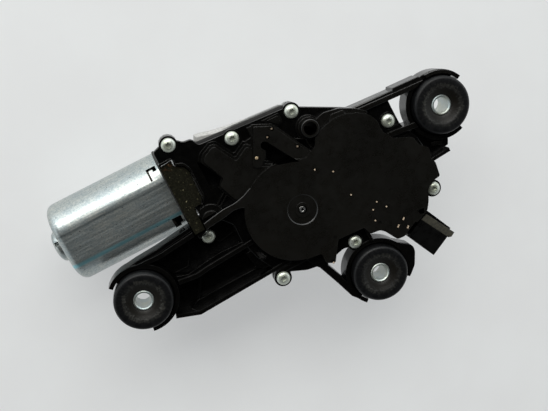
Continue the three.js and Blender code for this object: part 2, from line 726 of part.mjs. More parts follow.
// The long arm beside the motor: a web with three ribs and cross ribs.
function longArm() {
  const web = [[-88, 12.5], [-98, 0], [-90, -22], [-76, -27], [-24, -26], [-30, 18], [-57, 15.5]];
  const upper = [[-111.3, 9.2], [-104, 12.4], [-93, 13.6], [-80.3, 14.6], [-57, 15.2], [-46, 17.2], [-21, 21.4]];
  const middle = [[-79.6, -4.6], [-67.6, -7.6], [-33, -5.6]];
  const lower = [[-88.6, -22.2], [-75.8, -26.4], [-18, -24.6]];
  return join(
    prism(sharp(web), arm.low, arm.web),
    rib(upper, arm.rib, arm.low, arm.high),
    rib(middle, arm.rib, arm.low, arm.high),
    rib(lower, arm.rib, arm.low, arm.high),
    rib([[-71, -22.2], [-38, -20.6]], 1.6, arm.low, arm.high - 5),
    rib([[-70, -8], [-70, -24]], 1.6, arm.low, arm.high - 4),
    rib([[-84, 8], [-76, 2], [-70, 4]], 1.8, arm.low, arm.high - 4),
    rib([[-44, 16], [-44, -6]], 1.6, arm.low, arm.high - 7),
    disc(screws[7].x, screws[7].y, 4.8, arm.low, screws[7].seat, 20),
  );
}

function upperArm() {
  const low = arm.low + 1;
  const top = plate.high + 2.6;
  return join(
    rib([[45, 36.9], [91, 32.2]], 3.6, low, top),
    rib([[61, 13.2], [79.6, 11.6]], 3.6, low, arm.high + 1),
    prism(sharp([[58, 31], [58, 12], [70.2, 12.4], [69.4, 33]]), 60, plate.high),
    prism(sharp([[72, 9], [73.5, -9], [80, -10], [92, -8.4], [94, -3.6], [86.5, -1.6], [82.5, 2.2], [79.8, 8.6]]), 58, 61.4),
    rib([[76, -11], [90.4, -10]], 2.2, 58, plate.high + 1),
    rib([[82, -2.6], [88, -4.6]], 2.2, 58, plate.high + 1),
  );
}

function lowerArm() {
  const corner = [[40, -44], [49.4, -50], [49.4, -55], [45.2, -63], [39.9, -67.5], [34, -60]];
  return join(
    rib([[-6, -28.5], [2.2, -49], [6.2, -60], [11.6, -66.6]], 4.6, arm.low + 1, arm.high),
    prism(sharp([[-10.8, -26], [-7.5, -34], [-1, -41], [3, -27]]), 58, arm.high),
    prism(sharp(corner), arm.low + 1, arm.high),
    rib([[28, -28], [28.2, -37]], 2.2, 58, plate.high + 2),
    rib([[-27, -27.5], [-4, -27.5]], 3, 58, arm.high),
  );
}

function roofShell() {
  const { low, high, roof, roofThick } = plate;
  const side = 2.2;
  const outer = join(
    prism(rounded(roofOutline, 1.2), low, roof, 1),
    disc(gearCover.x, gearCover.y, gearCover.radius, low, roof, 56),
    prism(rounded(wiringBlock, 1.4), low, roof - 2, 1),
    prism(rounded(hookStrip, 1), low, roof - 1.4, 1),
  );
  const inner = join(
    prism(sharp(inset(roofOutline, side)), low - 1, roof - roofThick),
    disc(gearCover.x, gearCover.y, gearCover.radius - side, low - 1, roof - roofThick, 32),
    prism(sharp(inset(wiringBlock, side)), low - 1, high + 1.2),
  );
  return { outer, inner };
}

function coverPlate() {
  const { low, high, roof } = plate;
  const { outer, inner } = roofShell();
  const vent = { x: 22.7, y: 38.3 };
  const hub = { ring: 8.7, middle: 3.6, hole: 1.9 };
  const flatPlate = join(
    prism(rounded(plateOutline, 1.5), low, high, 1),
    ...screws.slice(0, 7).map(({ x, y }) => disc(x, y, bossRadius, low, high, 14)),
  );
  const bareArms = cut(join(longArm(), upperArm(), lowerArm()), ...mounts.map(ringWell));
  const arms = cut(join(bareArms, ...mounts.map(ringAndWeb)), housingBlock(0.4, low));
  const details = join(
    outer,
    disc(vent.x, vent.y, 6.4, low, roof - 2.4, 20),
    disc(vent.x, vent.y, 5.1, low, roof + 1.2, 24),
    prism(rounded([[-50.6, 18.2], [-41, 19.6], [-43.6, 24], [-48, 24.4], [-50.6, 22]], 1.6), low, high + 2),
    prism(sharp([[0.3, 53.1], [6.5, 49], [10.6, 47.6], [11.2, 51.6]]), low, high + 1.4),
    rib([[-33.8, 28.6], [-41, 21.6]], 0.9, high - 1, high + 1.6),
    rib([[-32.6, 26.4], [-39.4, 20.4]], 0.9, high - 1, high + 1.6),
  );
  const pit = prism(sharp([[-39.3, 48.6], [-39.3, 32.6], [-35, 31.6], [-36.7, 47.6]]), high - 1.6, high + 1);
  const hookPit = prism(sharp([[-3.6, 41.6], [-5, 35.6], [-2.6, 28.6], [6.6, 26.6], [-0.6, 41.8]]), high - 1.6, roof);
  const hubRing = cut(disc(0, 0, hub.ring, roof - 0.5, roof + 1, 28), disc(0, 0, hub.middle + 1, 0, 90, 32));
  const washers = screws.slice(0, 7).map(({ x, y }) => disc(x, y, screw.head + 0.5, high, roof + 2, 12));
  const screwHoles = screws.map(({ x, y }) => disc(x, y, screw.shank + 0.2, 40, roof + 2, 10));
  const brushWindow = prism(sharp(inset(brushCoverOutline, -0.4)), low - 0.8, roof);
  const connectorSlot = connectorBlock(-0.5, connector.half + 0.5, -2.6, 0.6, 40, 90);
  return cut(
    join(flatPlate, details, arms),
    cut(inner, disc(0, 0, hub.middle + 1.6, 0, 90, 32)), pit, hookPit, hubRing,
    disc(0, 0, hub.hole + 0.1, 50, 90, 20),
    disc(vent.x, vent.y, 3.7, 50, 90, 20), ...washers, ...screwHoles, brushWindow, connectorSlot,
  );
}

// A block in the connector's own turned frame: u across it and v out of the body.
function connectorBlock(u0, u1, v0, v1, low, high) {
  const geometry = new THREE.BoxGeometry(u1 - u0, v1 - v0, high - low);
  geometry.translate((u0 + u1) / 2, -(v0 + v1) / 2, (low + high) / 2);
  geometry.rotateZ(degrees(connector.turn));
  geometry.translate(connector.x, connector.y, 0);
  return solid(geometry);
}

function connectorShell() {
  const { half, reach, low, high, shell } = connector;
  const outer = join(
    connectorBlock(-half, half, 0.9, reach, low, high),
    connectorBlock(half - 0.5, half + 2.6, 0.9, reach - 1.4, low + 5, high - 0.6),
    connectorBlock(-half + 1, half - 1, -2.4, 1.4, low, plate.low - 1),
  );
  const mouth = connectorBlock(-half + shell, half - shell, 7, reach + 1, low + shell, high - shell);
  const slots = terminalPlaces().map((u) => connectorBlock(u - 0.6, u + 0.6, -7, 8, 58.4, 60.2));
  return cut(outer, mouth, ...slots);
}

function terminalPlaces() {
  return [-4.5, -1.5, 1.5, 4.5];
}

function buildCover() {
  add("cover_bracket", coverPlate(), blackPlastic());
  add("gear_housing", gearHousing(), castAluminium());
  add("cover_gasket", gasket(), material(0x3c3c3a, 0.9, 0));
  add("brush_cover", prism(sharp(brushCoverOutline), plate.low, plate.high - 0.2), material(0x4a4230, 0.9, 0));
  add("hub_pin", turnedRing(0.8, 1.9, 60, plate.roof - 0.4, 20), brightSteel());
  const board = [[14, -19], [54, -20], [62, -14], [64, -2], [58, 10], [50, 21], [30, 24], [14, 14]];
  add("circuit_board", prism(rounded(board, 3), 56, 57.6), material(0x2f5a35, 0.6, 0));
  add("connector_shell", connectorShell(), blackPlastic());
  terminalPlaces().forEach((u, i) => {
    add(`terminal_${i + 1}`, connectorBlock(u - 0.4, u + 0.4, -2, 17, 58.7, 59.9), material(0xc9b27a, 0.35, 1));
  });
}

// ---------------------------------------------------------------- mounts and screws

function grommetProfile() {
  const { low, high, outer, neck, grooveLow, grooveHigh } = grommet;
  const inner = bush.outer + 0.1;
  return [
    [inner, low], [outer - 0.6, low], [outer - 0.6, grooveLow], [neck, grooveLow], [neck, grooveHigh],
    [outer, grooveHigh], [outer, high - 2], [outer - 2, high], [10, high], [8.4, high - 2.4], [inner, high - 2.4], [inner, low],
  ];
}

function bushProfile() {
  const { low, high, bore, outer, flange, flangeThick } = bush;
  return [[bore, low], [flange, low], [flange, low + flangeThick], [outer, low + flangeThick], [outer, high], [bore, high], [bore, low]];
}

function coverScrew() {
  const { head, headHigh, shank, length } = screw;
  const profile = [
    [0, -length], [shank, -length], [shank, 0], [head, 0], [head, 0.55 * headHigh], [head - 1.3, headHigh], [0, headHigh],
  ];
  const recess = sharp(spread(6).map((angle) => polar(1.5, angle)));
  return geometryOf(cut(solid(turned(profile, 14)), prism(recess, headHigh - 1.5, headHigh + 1)));
}

function buildMounts() {
  mounts.forEach(({ x, y }, i) => {
    add(`grommet_${i + 1}`, turned(grommetProfile(), 20), rubber(), [x, y, 0]);
    add(`bush_${i + 1}`, turned(bushProfile(), 20), zincSteel(), [x, y, 0]);
  });
  screws.forEach(({ x, y, seat }, i) => {
    add(`cover_screw_${i + 1}`, coverScrew(), brightSteel(), [x, y, seat + 0.05]);
  });
}

buildMotor();
buildGears();
buildCover();
buildMounts();

export default model;
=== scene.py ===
import math

import bmesh
import bpy
from mathutils import Matrix, Vector


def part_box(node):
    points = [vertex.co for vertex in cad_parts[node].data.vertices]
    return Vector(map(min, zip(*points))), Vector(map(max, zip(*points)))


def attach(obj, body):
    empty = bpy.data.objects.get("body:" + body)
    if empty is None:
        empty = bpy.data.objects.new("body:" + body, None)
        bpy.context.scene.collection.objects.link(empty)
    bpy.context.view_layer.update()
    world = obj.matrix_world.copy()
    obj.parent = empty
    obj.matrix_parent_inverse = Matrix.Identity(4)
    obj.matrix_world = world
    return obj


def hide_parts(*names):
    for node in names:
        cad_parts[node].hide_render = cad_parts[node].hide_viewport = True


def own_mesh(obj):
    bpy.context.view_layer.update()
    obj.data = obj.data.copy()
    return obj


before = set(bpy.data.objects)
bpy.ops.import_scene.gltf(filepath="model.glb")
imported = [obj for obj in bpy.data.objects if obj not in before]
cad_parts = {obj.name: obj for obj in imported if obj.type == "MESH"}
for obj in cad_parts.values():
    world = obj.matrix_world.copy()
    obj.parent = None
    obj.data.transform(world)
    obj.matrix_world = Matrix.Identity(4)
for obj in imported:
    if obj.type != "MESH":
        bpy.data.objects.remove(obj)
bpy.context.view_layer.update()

# Lengths are in millimetres until a mesh is made. Plan points are counted from the worm wheel's axis.
MM = 0.001


# -------------------- the frame's places

def node_box(node):
    low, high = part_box(node)
    return low / MM, high / MM


def node_centre(node):
    low, high = node_box(node)
    return (low + high) / 2


wheel = node_centre("wheel_axle")
mounts = [node_centre(f"grommet_{i}") for i in (1, 2, 3)]
screw_nodes = [f"cover_screw_{i}" for i in range(1, 9)]
grommet_low, grommet_high = (corner.z for corner in node_box("grommet_1"))
roof = grommet_high
plate_low = node_box("brush_cover")[0].z
plate_high = node_box("brush_cover")[1].z + 0.2
arm_low = grommet_low
screw_head = 2.65
arm_high = node_box("cover_screw_1")[1].z - screw_head + 1
screw_seat = node_box("cover_screw_8")[1].z - screw_head
screws = [node_centre(node) for node in screw_nodes]
screw_plan = [(place.x - wheel.x, place.y - wheel.y) for place in screws]
plate_screws, arm_screw = screw_plan[:7], screw_plan[7]
mount_plan = [(place.x - wheel.x, place.y - wheel.y) for place in mounts]


# -------------------- outlines

def polar(x, y, radius, angle):
    return (x + radius * math.cos(angle), y + radius * math.sin(angle))


def arc(x, y, radius, start, end, steps):
    """Points on an arc, with its angles in degrees."""
    turn = [math.radians(start + (end - start) * i / steps) for i in range(steps + 1)]
    return [polar(x, y, radius, angle) for angle in turn]


def rounded(points, radius, steps=4):
    """The same outline with each corner turned into a small curve."""
    made = []
    count = len(points)
    for i, point in enumerate(points):
        corner = Vector(point)
        before = Vector(points[i - 1]) - corner
        after = Vector(points[(i + 1) % count]) - corner
        reach = min(radius, before.length * 0.45, after.length * 0.45)
        start = corner + before.normalized() * reach
        end = corner + after.normalized() * reach
        for k in range(steps + 1):
            t = k / steps
            made.append(tuple(start * (1 - t) ** 2 + corner * 2 * t * (1 - t) + end * t ** 2))
    return made


def area(points):
    pairs = zip(points, points[1:] + points[:1])
    return sum(x0 * y1 - x1 * y0 for (x0, y0), (x1, y1) in pairs) / 2


def inset(points, distance):
    """The outline moved inwards, corner by corner."""
    turn = 1 if area(points) > 0 else -1
    made = []
    for i, point in enumerate(points):
        here = Vector(point)
        a = (here - Vector(points[i - 1])).normalized()
        b = (Vector(points[(i + 1) % len(points)]) - here).normalized()
        na = Vector((-a.y, a.x)) * turn
        nb = Vector((-b.y, b.x)) * turn
        middle = na + nb
        if middle.length < 1e-6:
            middle = na
        middle.normalize()
        made.append(tuple(here + middle * distance / max(0.35, middle.dot(na))))
    return made


def strip(points, width):
    """The outline of a rib of one width along a route."""
    route = [Vector(p) for p in points]
    left, right = [], []
    for i, here in enumerate(route):
        a = (here - route[i - 1]).normalized() if i else None
        b = (route[i + 1] - here).normalized() if i + 1 < len(route) else None
        a, b = a or b, b or a
        side = (Vector((-a.y, a.x)) + Vector((-b.y, b.x))).normalized()
        reach = width / 2 / max(0.5, side.dot(Vector((-a.y, a.x))))
        left.append(tuple(here + side * reach))
        right.append(tuple(here - side * reach))
    return left + right[::-1]


# -------------------- solids

def tidy(bm):
    """Turns all faces outwards."""
    bmesh.ops.recalc_face_normals(bm, faces=bm.faces)
    return bm


def prism(outline, low, high, edge=0.0, steps=2):
    """An upright solid, with a rounded top edge if asked."""
    bm = bmesh.new()
    base = bm.faces.new([bm.verts.new((x, y, low)) for x, y in outline])
    raised = bmesh.ops.extrude_face_region(bm, geom=[base])["geom"]
    top = [v for v in raised if isinstance(v, bmesh.types.BMVert)]
    bmesh.ops.translate(bm, verts=top, vec=(0, 0, high - low))
    tidy(bm)
    if edge:
        rim = [e for e in bm.edges if all(abs(v.co.z - high) < 1e-4 for v in e.verts)]
        bmesh.ops.bevel(
            bm, geom=rim, offset=edge, segments=steps, profile=0.5, affect="EDGES", clamp_overlap=True
        )
    return tidy(bm)


def disc(x, y, radius, low, high, edge=0.0, sides=96, steps=2):
    return prism(arc(x, y, radius, 0, 360 - 360 / sides, sides - 1), low, high, edge, steps)


def rib(points, width, low, high, edge=0.5):
    return prism(strip(points, width), low, high, edge)


def turned(profile, x=0.0, y=0.0, sides=96):
    """A solid of revolution about an upright axis. The profile is radius and height, closed by itself."""
    bm = bmesh.new()
    rings = []
    for radius, height in profile:
        if radius < 1e-6:
            rings.append([bm.verts.new((x, y, height))])
            continue
        rings.append([
            bm.verts.new((*polar(x, y, radius, 2 * math.pi * i / sides), height)) for i in range(sides)
        ])
    for a, b in zip(rings, rings[1:] + rings[:1]):
        for i in range(sides):
            j = (i + 1) % sides
            corners = [a[i % len(a)], a[j % len(a)], b[j % len(b)], b[i % len(b)]]
            unique = list(dict.fromkeys(corners))
            if len(unique) > 2:
                bm.faces.new(unique)
    return tidy(bm)


def merge(*shapes):
    """Several shapes in one mesh, without joining their surfaces."""
    whole = bmesh.new()
    for shape in shapes:
        mesh = bpy.data.meshes.new("part")
        shape.to_mesh(mesh)
        whole.from_mesh(mesh)
        bpy.data.meshes.remove(mesh)
        shape.free()
    return whole


def boolean(base, tool, operation):
    """Joins or cuts two closed shapes, and frees both."""
    holders = []
    for shape in (base, tool):
        mesh = bpy.data.meshes.new("operand")
        shape.to_mesh(mesh)
        shape.free()
        holder = bpy.data.objects.new("operand", mesh)
        bpy.context.scene.collection.objects.link(holder)
        holders.append(holder)
    change = holders[0].modifiers.new("change", "BOOLEAN")
    change.object = holders[1]
    change.operation = operation
    change.solver = "MANIFOLD"
    seen = holders[0].evaluated_get(bpy.context.evaluated_depsgraph_get())
    made = bmesh.new()
    made.from_mesh(seen.to_mesh())
    seen.to_mesh_clear()
    for holder in holders:
        mesh = holder.data
        bpy.data.objects.remove(holder)
        bpy.data.meshes.remove(mesh)
    return made


def join(*shapes):
    whole = shapes[0]
    for shape in shapes[1:]:
        whole = boolean(whole, shape, "UNION")
    return whole


def cut(whole, *tools):
    for tool in tools:
        whole = boolean(whole, tool, "DIFFERENCE")
    return whole


def even_shading(made):
    """Keeps flat faces flat beside their rounded edges."""
    normals = made.modifiers.new("normals", "WEIGHTED_NORMAL")
    normals.weight = 90
    normals.keep_sharp = True


sharp_degrees = 32


def piece(name, bm, material, body="housing", replaces=()):
    """Turns a shape into an object in metres that rides on a body."""
    mesh = bpy.data.meshes.new(name)
    bmesh.ops.scale(bm, vec=(MM, MM, MM), verts=bm.verts)
    bm.to_mesh(mesh)
    bm.free()
    mesh.polygons.foreach_set("use_smooth", [True] * len(mesh.polygons))
    mesh.set_sharp_from_angle(angle=math.radians(sharp_degrees))
    mesh.materials.append(material)
    made = bpy.data.objects.new(name, mesh)
    bpy.context.scene.collection.objects.link(made)
    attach(made, body)
    if replaces:
        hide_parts(*replaces)
    even_shading(made)
    return made


# -------------------- materials

class Finish:
    """A principled material, with short calls that add nodes to it."""

    def __init__(self, name, color, roughness, metallic=0.0, space="Object", **values):
        self.material = bpy.data.materials.new(name)
        self.material.use_nodes = True
        self.tree = self.material.node_tree
        self.shader = self.tree.nodes["Principled BSDF"]
        self.set("Base Color", (*color, 1))
        self.set("Roughness", roughness)
        self.set("Metallic", metallic)
        for key, value in values.items():
            self.set(key.replace("_", " "), value)
        self.space = self.add("ShaderNodeTexCoord").outputs[space]

    def set(self, socket, value):
        """A constant goes on the shader's own socket, and a node's output is linked to it."""
        if isinstance(value, bpy.types.NodeSocket):
            self.tree.links.new(value, self.shader.inputs[socket])
        else:
            self.shader.inputs[socket].default_value = value

    def add(self, kind, **settings):
        node = self.tree.nodes.new(kind)
        for key, value in settings.items():
            setattr(node, key, value)
        return node

    def put(self, node, socket, value):
        if isinstance(value, bpy.types.NodeSocket):
            self.tree.links.new(value, node.inputs[socket])
        else:
            node.inputs[socket].default_value = value

    def stretched(self, x, y, z):
        node = self.add("ShaderNodeMapping")
        self.put(node, "Vector", self.space)
        node.inputs["Scale"].default_value = (x, y, z)
        return node.outputs["Vector"]

    def noise(self, size, detail=4.0, rough=0.55, vector=None):
        """Noise whose blotches are about `size` millimetres wide, from 0 to 1."""
        node = self.add("ShaderNodeTexNoise")
        self.put(node, "Vector", vector or self.space)
        self.put(node, "Scale", 1 / (size * MM))
        self.put(node, "Detail", detail)
        self.put(node, "Roughness", rough)
        return node.outputs["Fac"]

    def cells(self, size):
        """The distance to the nearest of points about `size` millimetres apart, in that size."""
        node = self.add("ShaderNodeTexVoronoi")
        self.put(node, "Vector", self.space)
        self.put(node, "Scale", 1 / (size * MM))
        return node.outputs["Distance"]

    def ramp(self, value, low, high, start=0.0, end=1.0):
        """Takes `low`…`high` to `start`…`end`, smoothly and clamped."""
        node = self.add("ShaderNodeMapRange", interpolation_type="SMOOTHSTEP")
        self.put(node, "Value", value)
        for socket, number in zip(("From Min", "From Max", "To Min", "To Max"), (low, high, start, end)):
            self.put(node, socket, number)
        return node.outputs["Result"]

    def math(self, operation, a, b=0.0):
        node = self.add("ShaderNodeMath", operation=operation)
        self.put(node, 0, a)
        self.put(node, 1, b)
        return node.outputs[0]

    def blend(self, factor, a, b):
        node = self.add("ShaderNodeMix", data_type="RGBA")
        self.put(node, "Factor", factor)
        for socket, value in ((6, a), (7, b)):
            self.put(node, socket, value if isinstance(value, bpy.types.NodeSocket) else (*value, 1))
        return node.outputs[2]

    def times(self, a, b):
        return self.math("MULTIPLY", a, b)

    def over(self, base, mask, strength, color):
        """Lays a colour over the base where the mask is 1."""
        return self.blend(self.times(mask, strength), base, color)

    def part(self, vector, axis):
        node = self.add("ShaderNodeSeparateXYZ")
        self.put(node, 0, vector)
        return node.outputs[axis]

    def up(self):
        """1 on faces that look up, 0 on walls and undersides."""
        return self.ramp(self.part(self.add("ShaderNodeNewGeometry").outputs["Normal"], "Z"), 0.3, 0.9)

    def worn_edges(self, width):
        """1 on sharp outer edges, found by comparing the true normal with a rounded one."""
        node = self.add("ShaderNodeBevel", samples=4)
        self.put(node, "Radius", width * MM)
        dot = self.add("ShaderNodeVectorMath", operation="DOT_PRODUCT")
        self.put(dot, 0, node.outputs[0])
        self.put(dot, 1, self.add("ShaderNodeNewGeometry").outputs["Normal"])
        return self.ramp(dot.outputs["Value"], 0.995, 0.93)

    def bumps(self, *layers):
        """Layers of height, each a value and its depth in millimetres."""
        normal = None
        for height, depth in layers:
            node = self.add("ShaderNodeBump")
            self.put(node, "Height", height)
            self.put(node, "Distance", depth * MM)
            self.put(node, "Strength", 1.0)
            if normal:
                self.put(node, "Normal", normal)
            normal = node.outputs["Normal"]
        self.set("Normal", normal)


def moulded_plastic(name, color, dust, dustiness):
    """Satin plastic: fine grain, lighter rubbed edges, and dust that lies on the top faces and in streaks."""
    roughness, grain = 0.21, 0.003
    finish = Finish(name, color, roughness)
    height = finish.ramp(finish.part(finish.space, "Z"), (roof - 7) * MM, (roof - 0.6) * MM, 0.06, 1.0)
    patches = finish.ramp(finish.noise(38, 3, 0.5), 0.25, 0.75, 0.6, 1.0)
    mottle = finish.ramp(finish.noise(0.8, 3, 0.6), 0.35, 0.7, 0.9, 1.0)
    streaks = finish.ramp(finish.noise(0.7, 3, 0.6, finish.stretched(0.3, 1, 1)), 0.4, 0.7, 0.88, 1.0)
    film = finish.times(patches, finish.times(streaks, mottle))
    lying = finish.times(finish.times(film, height), finish.up())
    base = finish.over(color, lying, dustiness, dust)
    specks = finish.times(finish.ramp(finish.noise(0.7, 2, 0.6), 0.69, 0.76), finish.up())
    base = finish.over(base, specks, 0.45, tuple(c * 5 for c in dust))
    edge = finish.times(finish.worn_edges(0.35), finish.ramp(finish.noise(1.8, 3), 0.3, 0.7))
    base = finish.over(base, edge, 0.2, (0.026, 0.025, 0.022))
    finish.set("Base Color", base)
    rough = finish.ramp(finish.noise(4, 4), 0.3, 0.7, roughness - 0.03, roughness + 0.04)
    finish.set("Roughness", finish.math("ADD", rough, finish.times(lying, 0.12)))
    finish.bumps((finish.noise(0.35, 2), grain), (finish.noise(3.5, 2), grain * 2))
    return finish.material


def plated_steel(name, color, tint, roughness=0.34, grain=0.004, metallic=0.85):
    """Zinc plating: faint crystal blotches, fine scratches and small pits."""
    finish = Finish(name, color, roughness, metallic)
    blotches = finish.ramp(finish.noise(6, 4), 0.3, 0.7)
    scratches = finish.ramp(finish.noise(1.1, 3, 0.6, finish.stretched(0.12, 1, 1)), 0.35, 0.75)
    pits = finish.ramp(finish.cells(2.4), 0.1, 0.04)
    base = finish.blend(blotches, color, tint)
    finish.set("Base Color", finish.over(base, pits, 0.6, tuple(c * 0.25 for c in color)))
    finish.set("Roughness", finish.ramp(scratches, 0.0, 1.0, roughness - 0.04, roughness + 0.06))
    finish.bumps((scratches, grain * 0.4), (finish.noise(1.5, 2), grain * 0.4))
    return finish.material


def can_steel():
    """The drawn can: satin zinc with grain along the motor, dark specks, painted shade along the crease of
    its flat top, and a blue line.
    """
    color = (0.46, 0.50, 0.50)
    low, high = node_box("motor_can")
    middle = (low + high) / 2
    line_at, painted_shade_y = -10.8, 7.6
    finish = Finish("can_steel", color, 0.3, 0.88)
    grain = finish.noise(1.2, 5, 0.6, finish.stretched(0.05, 1, 1))
    clouds = finish.ramp(finish.noise(9, 5, 0.6), 0.35, 0.65)
    fine = finish.ramp(finish.noise(1.0, 4, 0.8), 0.4, 0.62)
    lines = finish.ramp(finish.noise(0.9, 3, 0.6, finish.stretched(0.04, 1, 1)), 0.56, 0.66)
    base = finish.blend(clouds, color, (0.55, 0.57, 0.54))
    base = finish.over(base, fine, 0.75, (0.25, 0.31, 0.33))
    base = finish.over(base, lines, 0.5, (0.62, 0.63, 0.58))
    across = finish.math("SUBTRACT", finish.times(finish.part(finish.space, "Y"), 1 / MM), middle.y)
    upper = finish.ramp(finish.part(finish.space, "Z"), (middle.z + 10) * MM, (middle.z + 13) * MM)
    line = finish.ramp(finish.math("ABSOLUTE", finish.math("SUBTRACT", across, line_at)), 1.8, 0.3)
    base = finish.over(base, finish.times(line, upper), 0.8, (0.26, 0.60, 0.68))
    # Painted shade: a dark band on the can's top along the crease where the flat meets the round side,
    # standing in for the dark reflection there.
    painted_crease_shade = finish.ramp(finish.math("ABSOLUTE", finish.math("SUBTRACT", across, painted_shade_y)), 0.9, 0.2)
    base = finish.over(base, finish.times(painted_crease_shade, upper), 0.55, (0.12, 0.15, 0.16))
    base = finish.over(base, finish.ramp(finish.cells(4.3), 0.10, 0.05), 0.8, (0.05, 0.045, 0.04))
    base = finish.over(base, finish.ramp(finish.noise(1.3, 4, 0.7), 0.62, 0.72), 0.45, (0.26, 0.18, 0.10))
    finish.set("Base Color", base)
    finish.set("Roughness", finish.ramp(grain, 0.3, 0.7, 0.30, 0.44))
    dents = finish.noise(7, 2, 0.5, finish.stretched(0.25, 1, 1))
    finish.bumps((dents, 0.12), (grain, 0.014), (finish.noise(0.6, 3, 0.7), 0.01))
    return finish.material


def worn_rubber():
    """Grommet rubber: streaks that run outwards, and a pale uneven ring rubbed round the dish."""
    color = (0.0022, 0.0023, 0.0026)
    finish = Finish("worn_rubber", color, 0.5, space="Generated", Specular_IOR_Level=0.22)
    x = finish.math("SUBTRACT", finish.part(finish.space, "X"), 0.5)
    y = finish.math("SUBTRACT", finish.part(finish.space, "Y"), 0.5)
    squares = finish.math("ADD", finish.times(x, x), finish.times(y, y))
    radius = finish.times(finish.math("SQRT", squares), 2)
    place = finish.add("ShaderNodeNewGeometry").outputs["Position"]
    jag = finish.noise(1.1, 2, 0.5, place)
    wavy = finish.math("ADD", radius, finish.ramp(jag, 0.3, 0.7, -0.06, 0.06))
    round_about = finish.add("ShaderNodeCombineXYZ")
    finish.put(round_about, 0, finish.times(finish.math("ARCTAN2", y, x), 5))
    finish.put(round_about, 1, radius)
    streak_size = 0.25 / MM  # this vector is in radians and radii, not in metres
    streak = finish.ramp(finish.noise(streak_size, 4, 0.5, round_about.outputs[0]), 0.35, 0.75)
    patch = finish.ramp(finish.noise(9, 2, 0.5, place), 0.35, 0.65, 0.25, 1.0)
    ring = finish.times(finish.ramp(wavy, 0.58, 0.63), finish.ramp(wavy, 0.76, 0.68))
    ring = finish.times(ring, finish.ramp(streak, 0.0, 1.0, 0.35, 1.0))
    ring = finish.times(finish.times(ring, patch), finish.up())
    centre = finish.times(finish.ramp(wavy, 0.62, 0.56), finish.up())
    base = finish.over(color, streak, 0.6, (0.0065, 0.0068, 0.0075))
    base = finish.over(base, ring, 0.9, (0.042, 0.041, 0.036))
    finish.set("Base Color", finish.blend(centre, base, (0.0042, 0.0034, 0.0022)))
    finish.set("Roughness", finish.ramp(streak, 0.0, 1.0, 0.38, 0.52))
    finish.bumps((streak, 0.03), (jag, 0.02))
    return finish.material


def cast_metal():
    """Die-cast aluminium: dull skin with a fine mottled grain and darker stains."""
    color = (0.36, 0.365, 0.36)
    finish = Finish("cast_metal", color, 0.42, 0.72)
    base = finish.blend(finish.ramp(finish.noise(3, 5, 0.75), 0.35, 0.75), color, (0.27, 0.27, 0.265))
    pores = finish.ramp(finish.cells(2.2), 0.12, 0.05)
    finish.set("Base Color", finish.over(base, pores, 0.6, (0.10, 0.10, 0.10)))
    finish.set("Roughness", finish.ramp(finish.noise(1.4, 4), 0.3, 0.7, 0.36, 0.58))
    finish.bumps((finish.noise(0.8, 4, 0.6), 0.03), (finish.noise(5, 2), 0.05))
    return finish.material


def plain_metal(name, color, roughness=0.3):
    """Machined metal: fine turning marks and a little tarnish."""
    finish = Finish(name, color, roughness, 1.0)
    tarnish = finish.ramp(finish.noise(3, 4), 0.35, 0.7)
    finish.set("Base Color", finish.over(color, tarnish, 0.4, tuple(c * 0.6 for c in color)))
    marks = finish.noise(0.5, 3, 0.6, finish.stretched(0.3, 0.3, 2.5))
    finish.set("Roughness", finish.ramp(marks, 0.3, 0.7, roughness - 0.06, roughness + 0.1))
    finish.bumps((marks, 0.004))
    return finish.material


def dull_solid(name, color, other, roughness=0.7, metallic=0.0, size=1.0):
    """A matt body with two mixed tones and a fine rough skin."""
    finish = Finish(name, color, roughness, metallic)
    finish.set("Base Color", finish.blend(finish.ramp(finish.noise(size, 4), 0.35, 0.7), color, other))
    finish.bumps((finish.noise(size * 0.4, 3), 0.015))
    return finish.material


def caked_dust():
    """The brush cover: olive-brown dirt with pale specks and one rusty corner."""
    color = (0.0050, 0.0047, 0.0026)
    corner_y = node_box("brush_cover")[1].y
    finish = Finish("caked_dust", color, 0.8, Specular_IOR_Level=0.06)
    cake = finish.ramp(finish.noise(1.3, 5, 0.7), 0.35, 0.7)
    base = finish.blend(cake, color, (0.0125, 0.0118, 0.0068))
    specks = finish.ramp(finish.noise(1.0, 3, 0.6, finish.stretched(1, 0.6, 1)), 0.62, 0.72)
    base = finish.over(base, specks, 0.7, (0.085, 0.078, 0.042))
    chips = finish.ramp(finish.noise(1.3, 2, 0.5), 0.73, 0.77)
    base = finish.over(base, chips, 0.8, (0.42, 0.38, 0.22))
    corner = finish.ramp(finish.part(finish.space, "Y"), (corner_y - 6) * MM, (corner_y - 1) * MM)
    rust = finish.times(corner, finish.ramp(finish.noise(2.0, 4), 0.5, 0.65))
    finish.set("Base Color", finish.over(base, rust, 0.5, (0.07, 0.026, 0.011)))
    finish.bumps((cake, 0.1), (finish.noise(0.4, 3), 0.05))
    return finish.material


black_plastic = moulded_plastic("black_plastic", (0.0004, 0.0004, 0.0004), (0.0066, 0.0060, 0.0047), 0.85)
connector_plastic = moulded_plastic(
    "connector_plastic", (0.0006, 0.0006, 0.0006), (0.0034, 0.0032, 0.0028), 0.3
)
screw_steel = plated_steel("screw_steel", (0.52, 0.55, 0.46), (0.58, 0.61, 0.56), 0.34, metallic=0.7)
bush_steel = plated_steel("bush_steel", (0.52, 0.54, 0.48), (0.44, 0.50, 0.50), 0.32, 0.02, 0.8)
pin_steel = plain_metal("pin_steel", (0.60, 0.60, 0.58), 0.28)
shaft_steel = plain_metal("shaft_steel", (0.36, 0.36, 0.355), 0.25)
stamped_steel = plated_steel("stamped_steel", (0.5, 0.51, 0.51), (0.42, 0.43, 0.43), 0.4)
bronze = dull_solid("bronze", (0.42, 0.27, 0.12), (0.30, 0.19, 0.09), 0.5, 0.9)
copper = dull_solid("copper", (0.60, 0.24, 0.11), (0.42, 0.15, 0.07), 0.35, 0.9, 0.8)
pin_copper = dull_solid("pin_copper", (0.58, 0.46, 0.30), (0.42, 0.30, 0.17), 0.4, 0.5, 0.5)
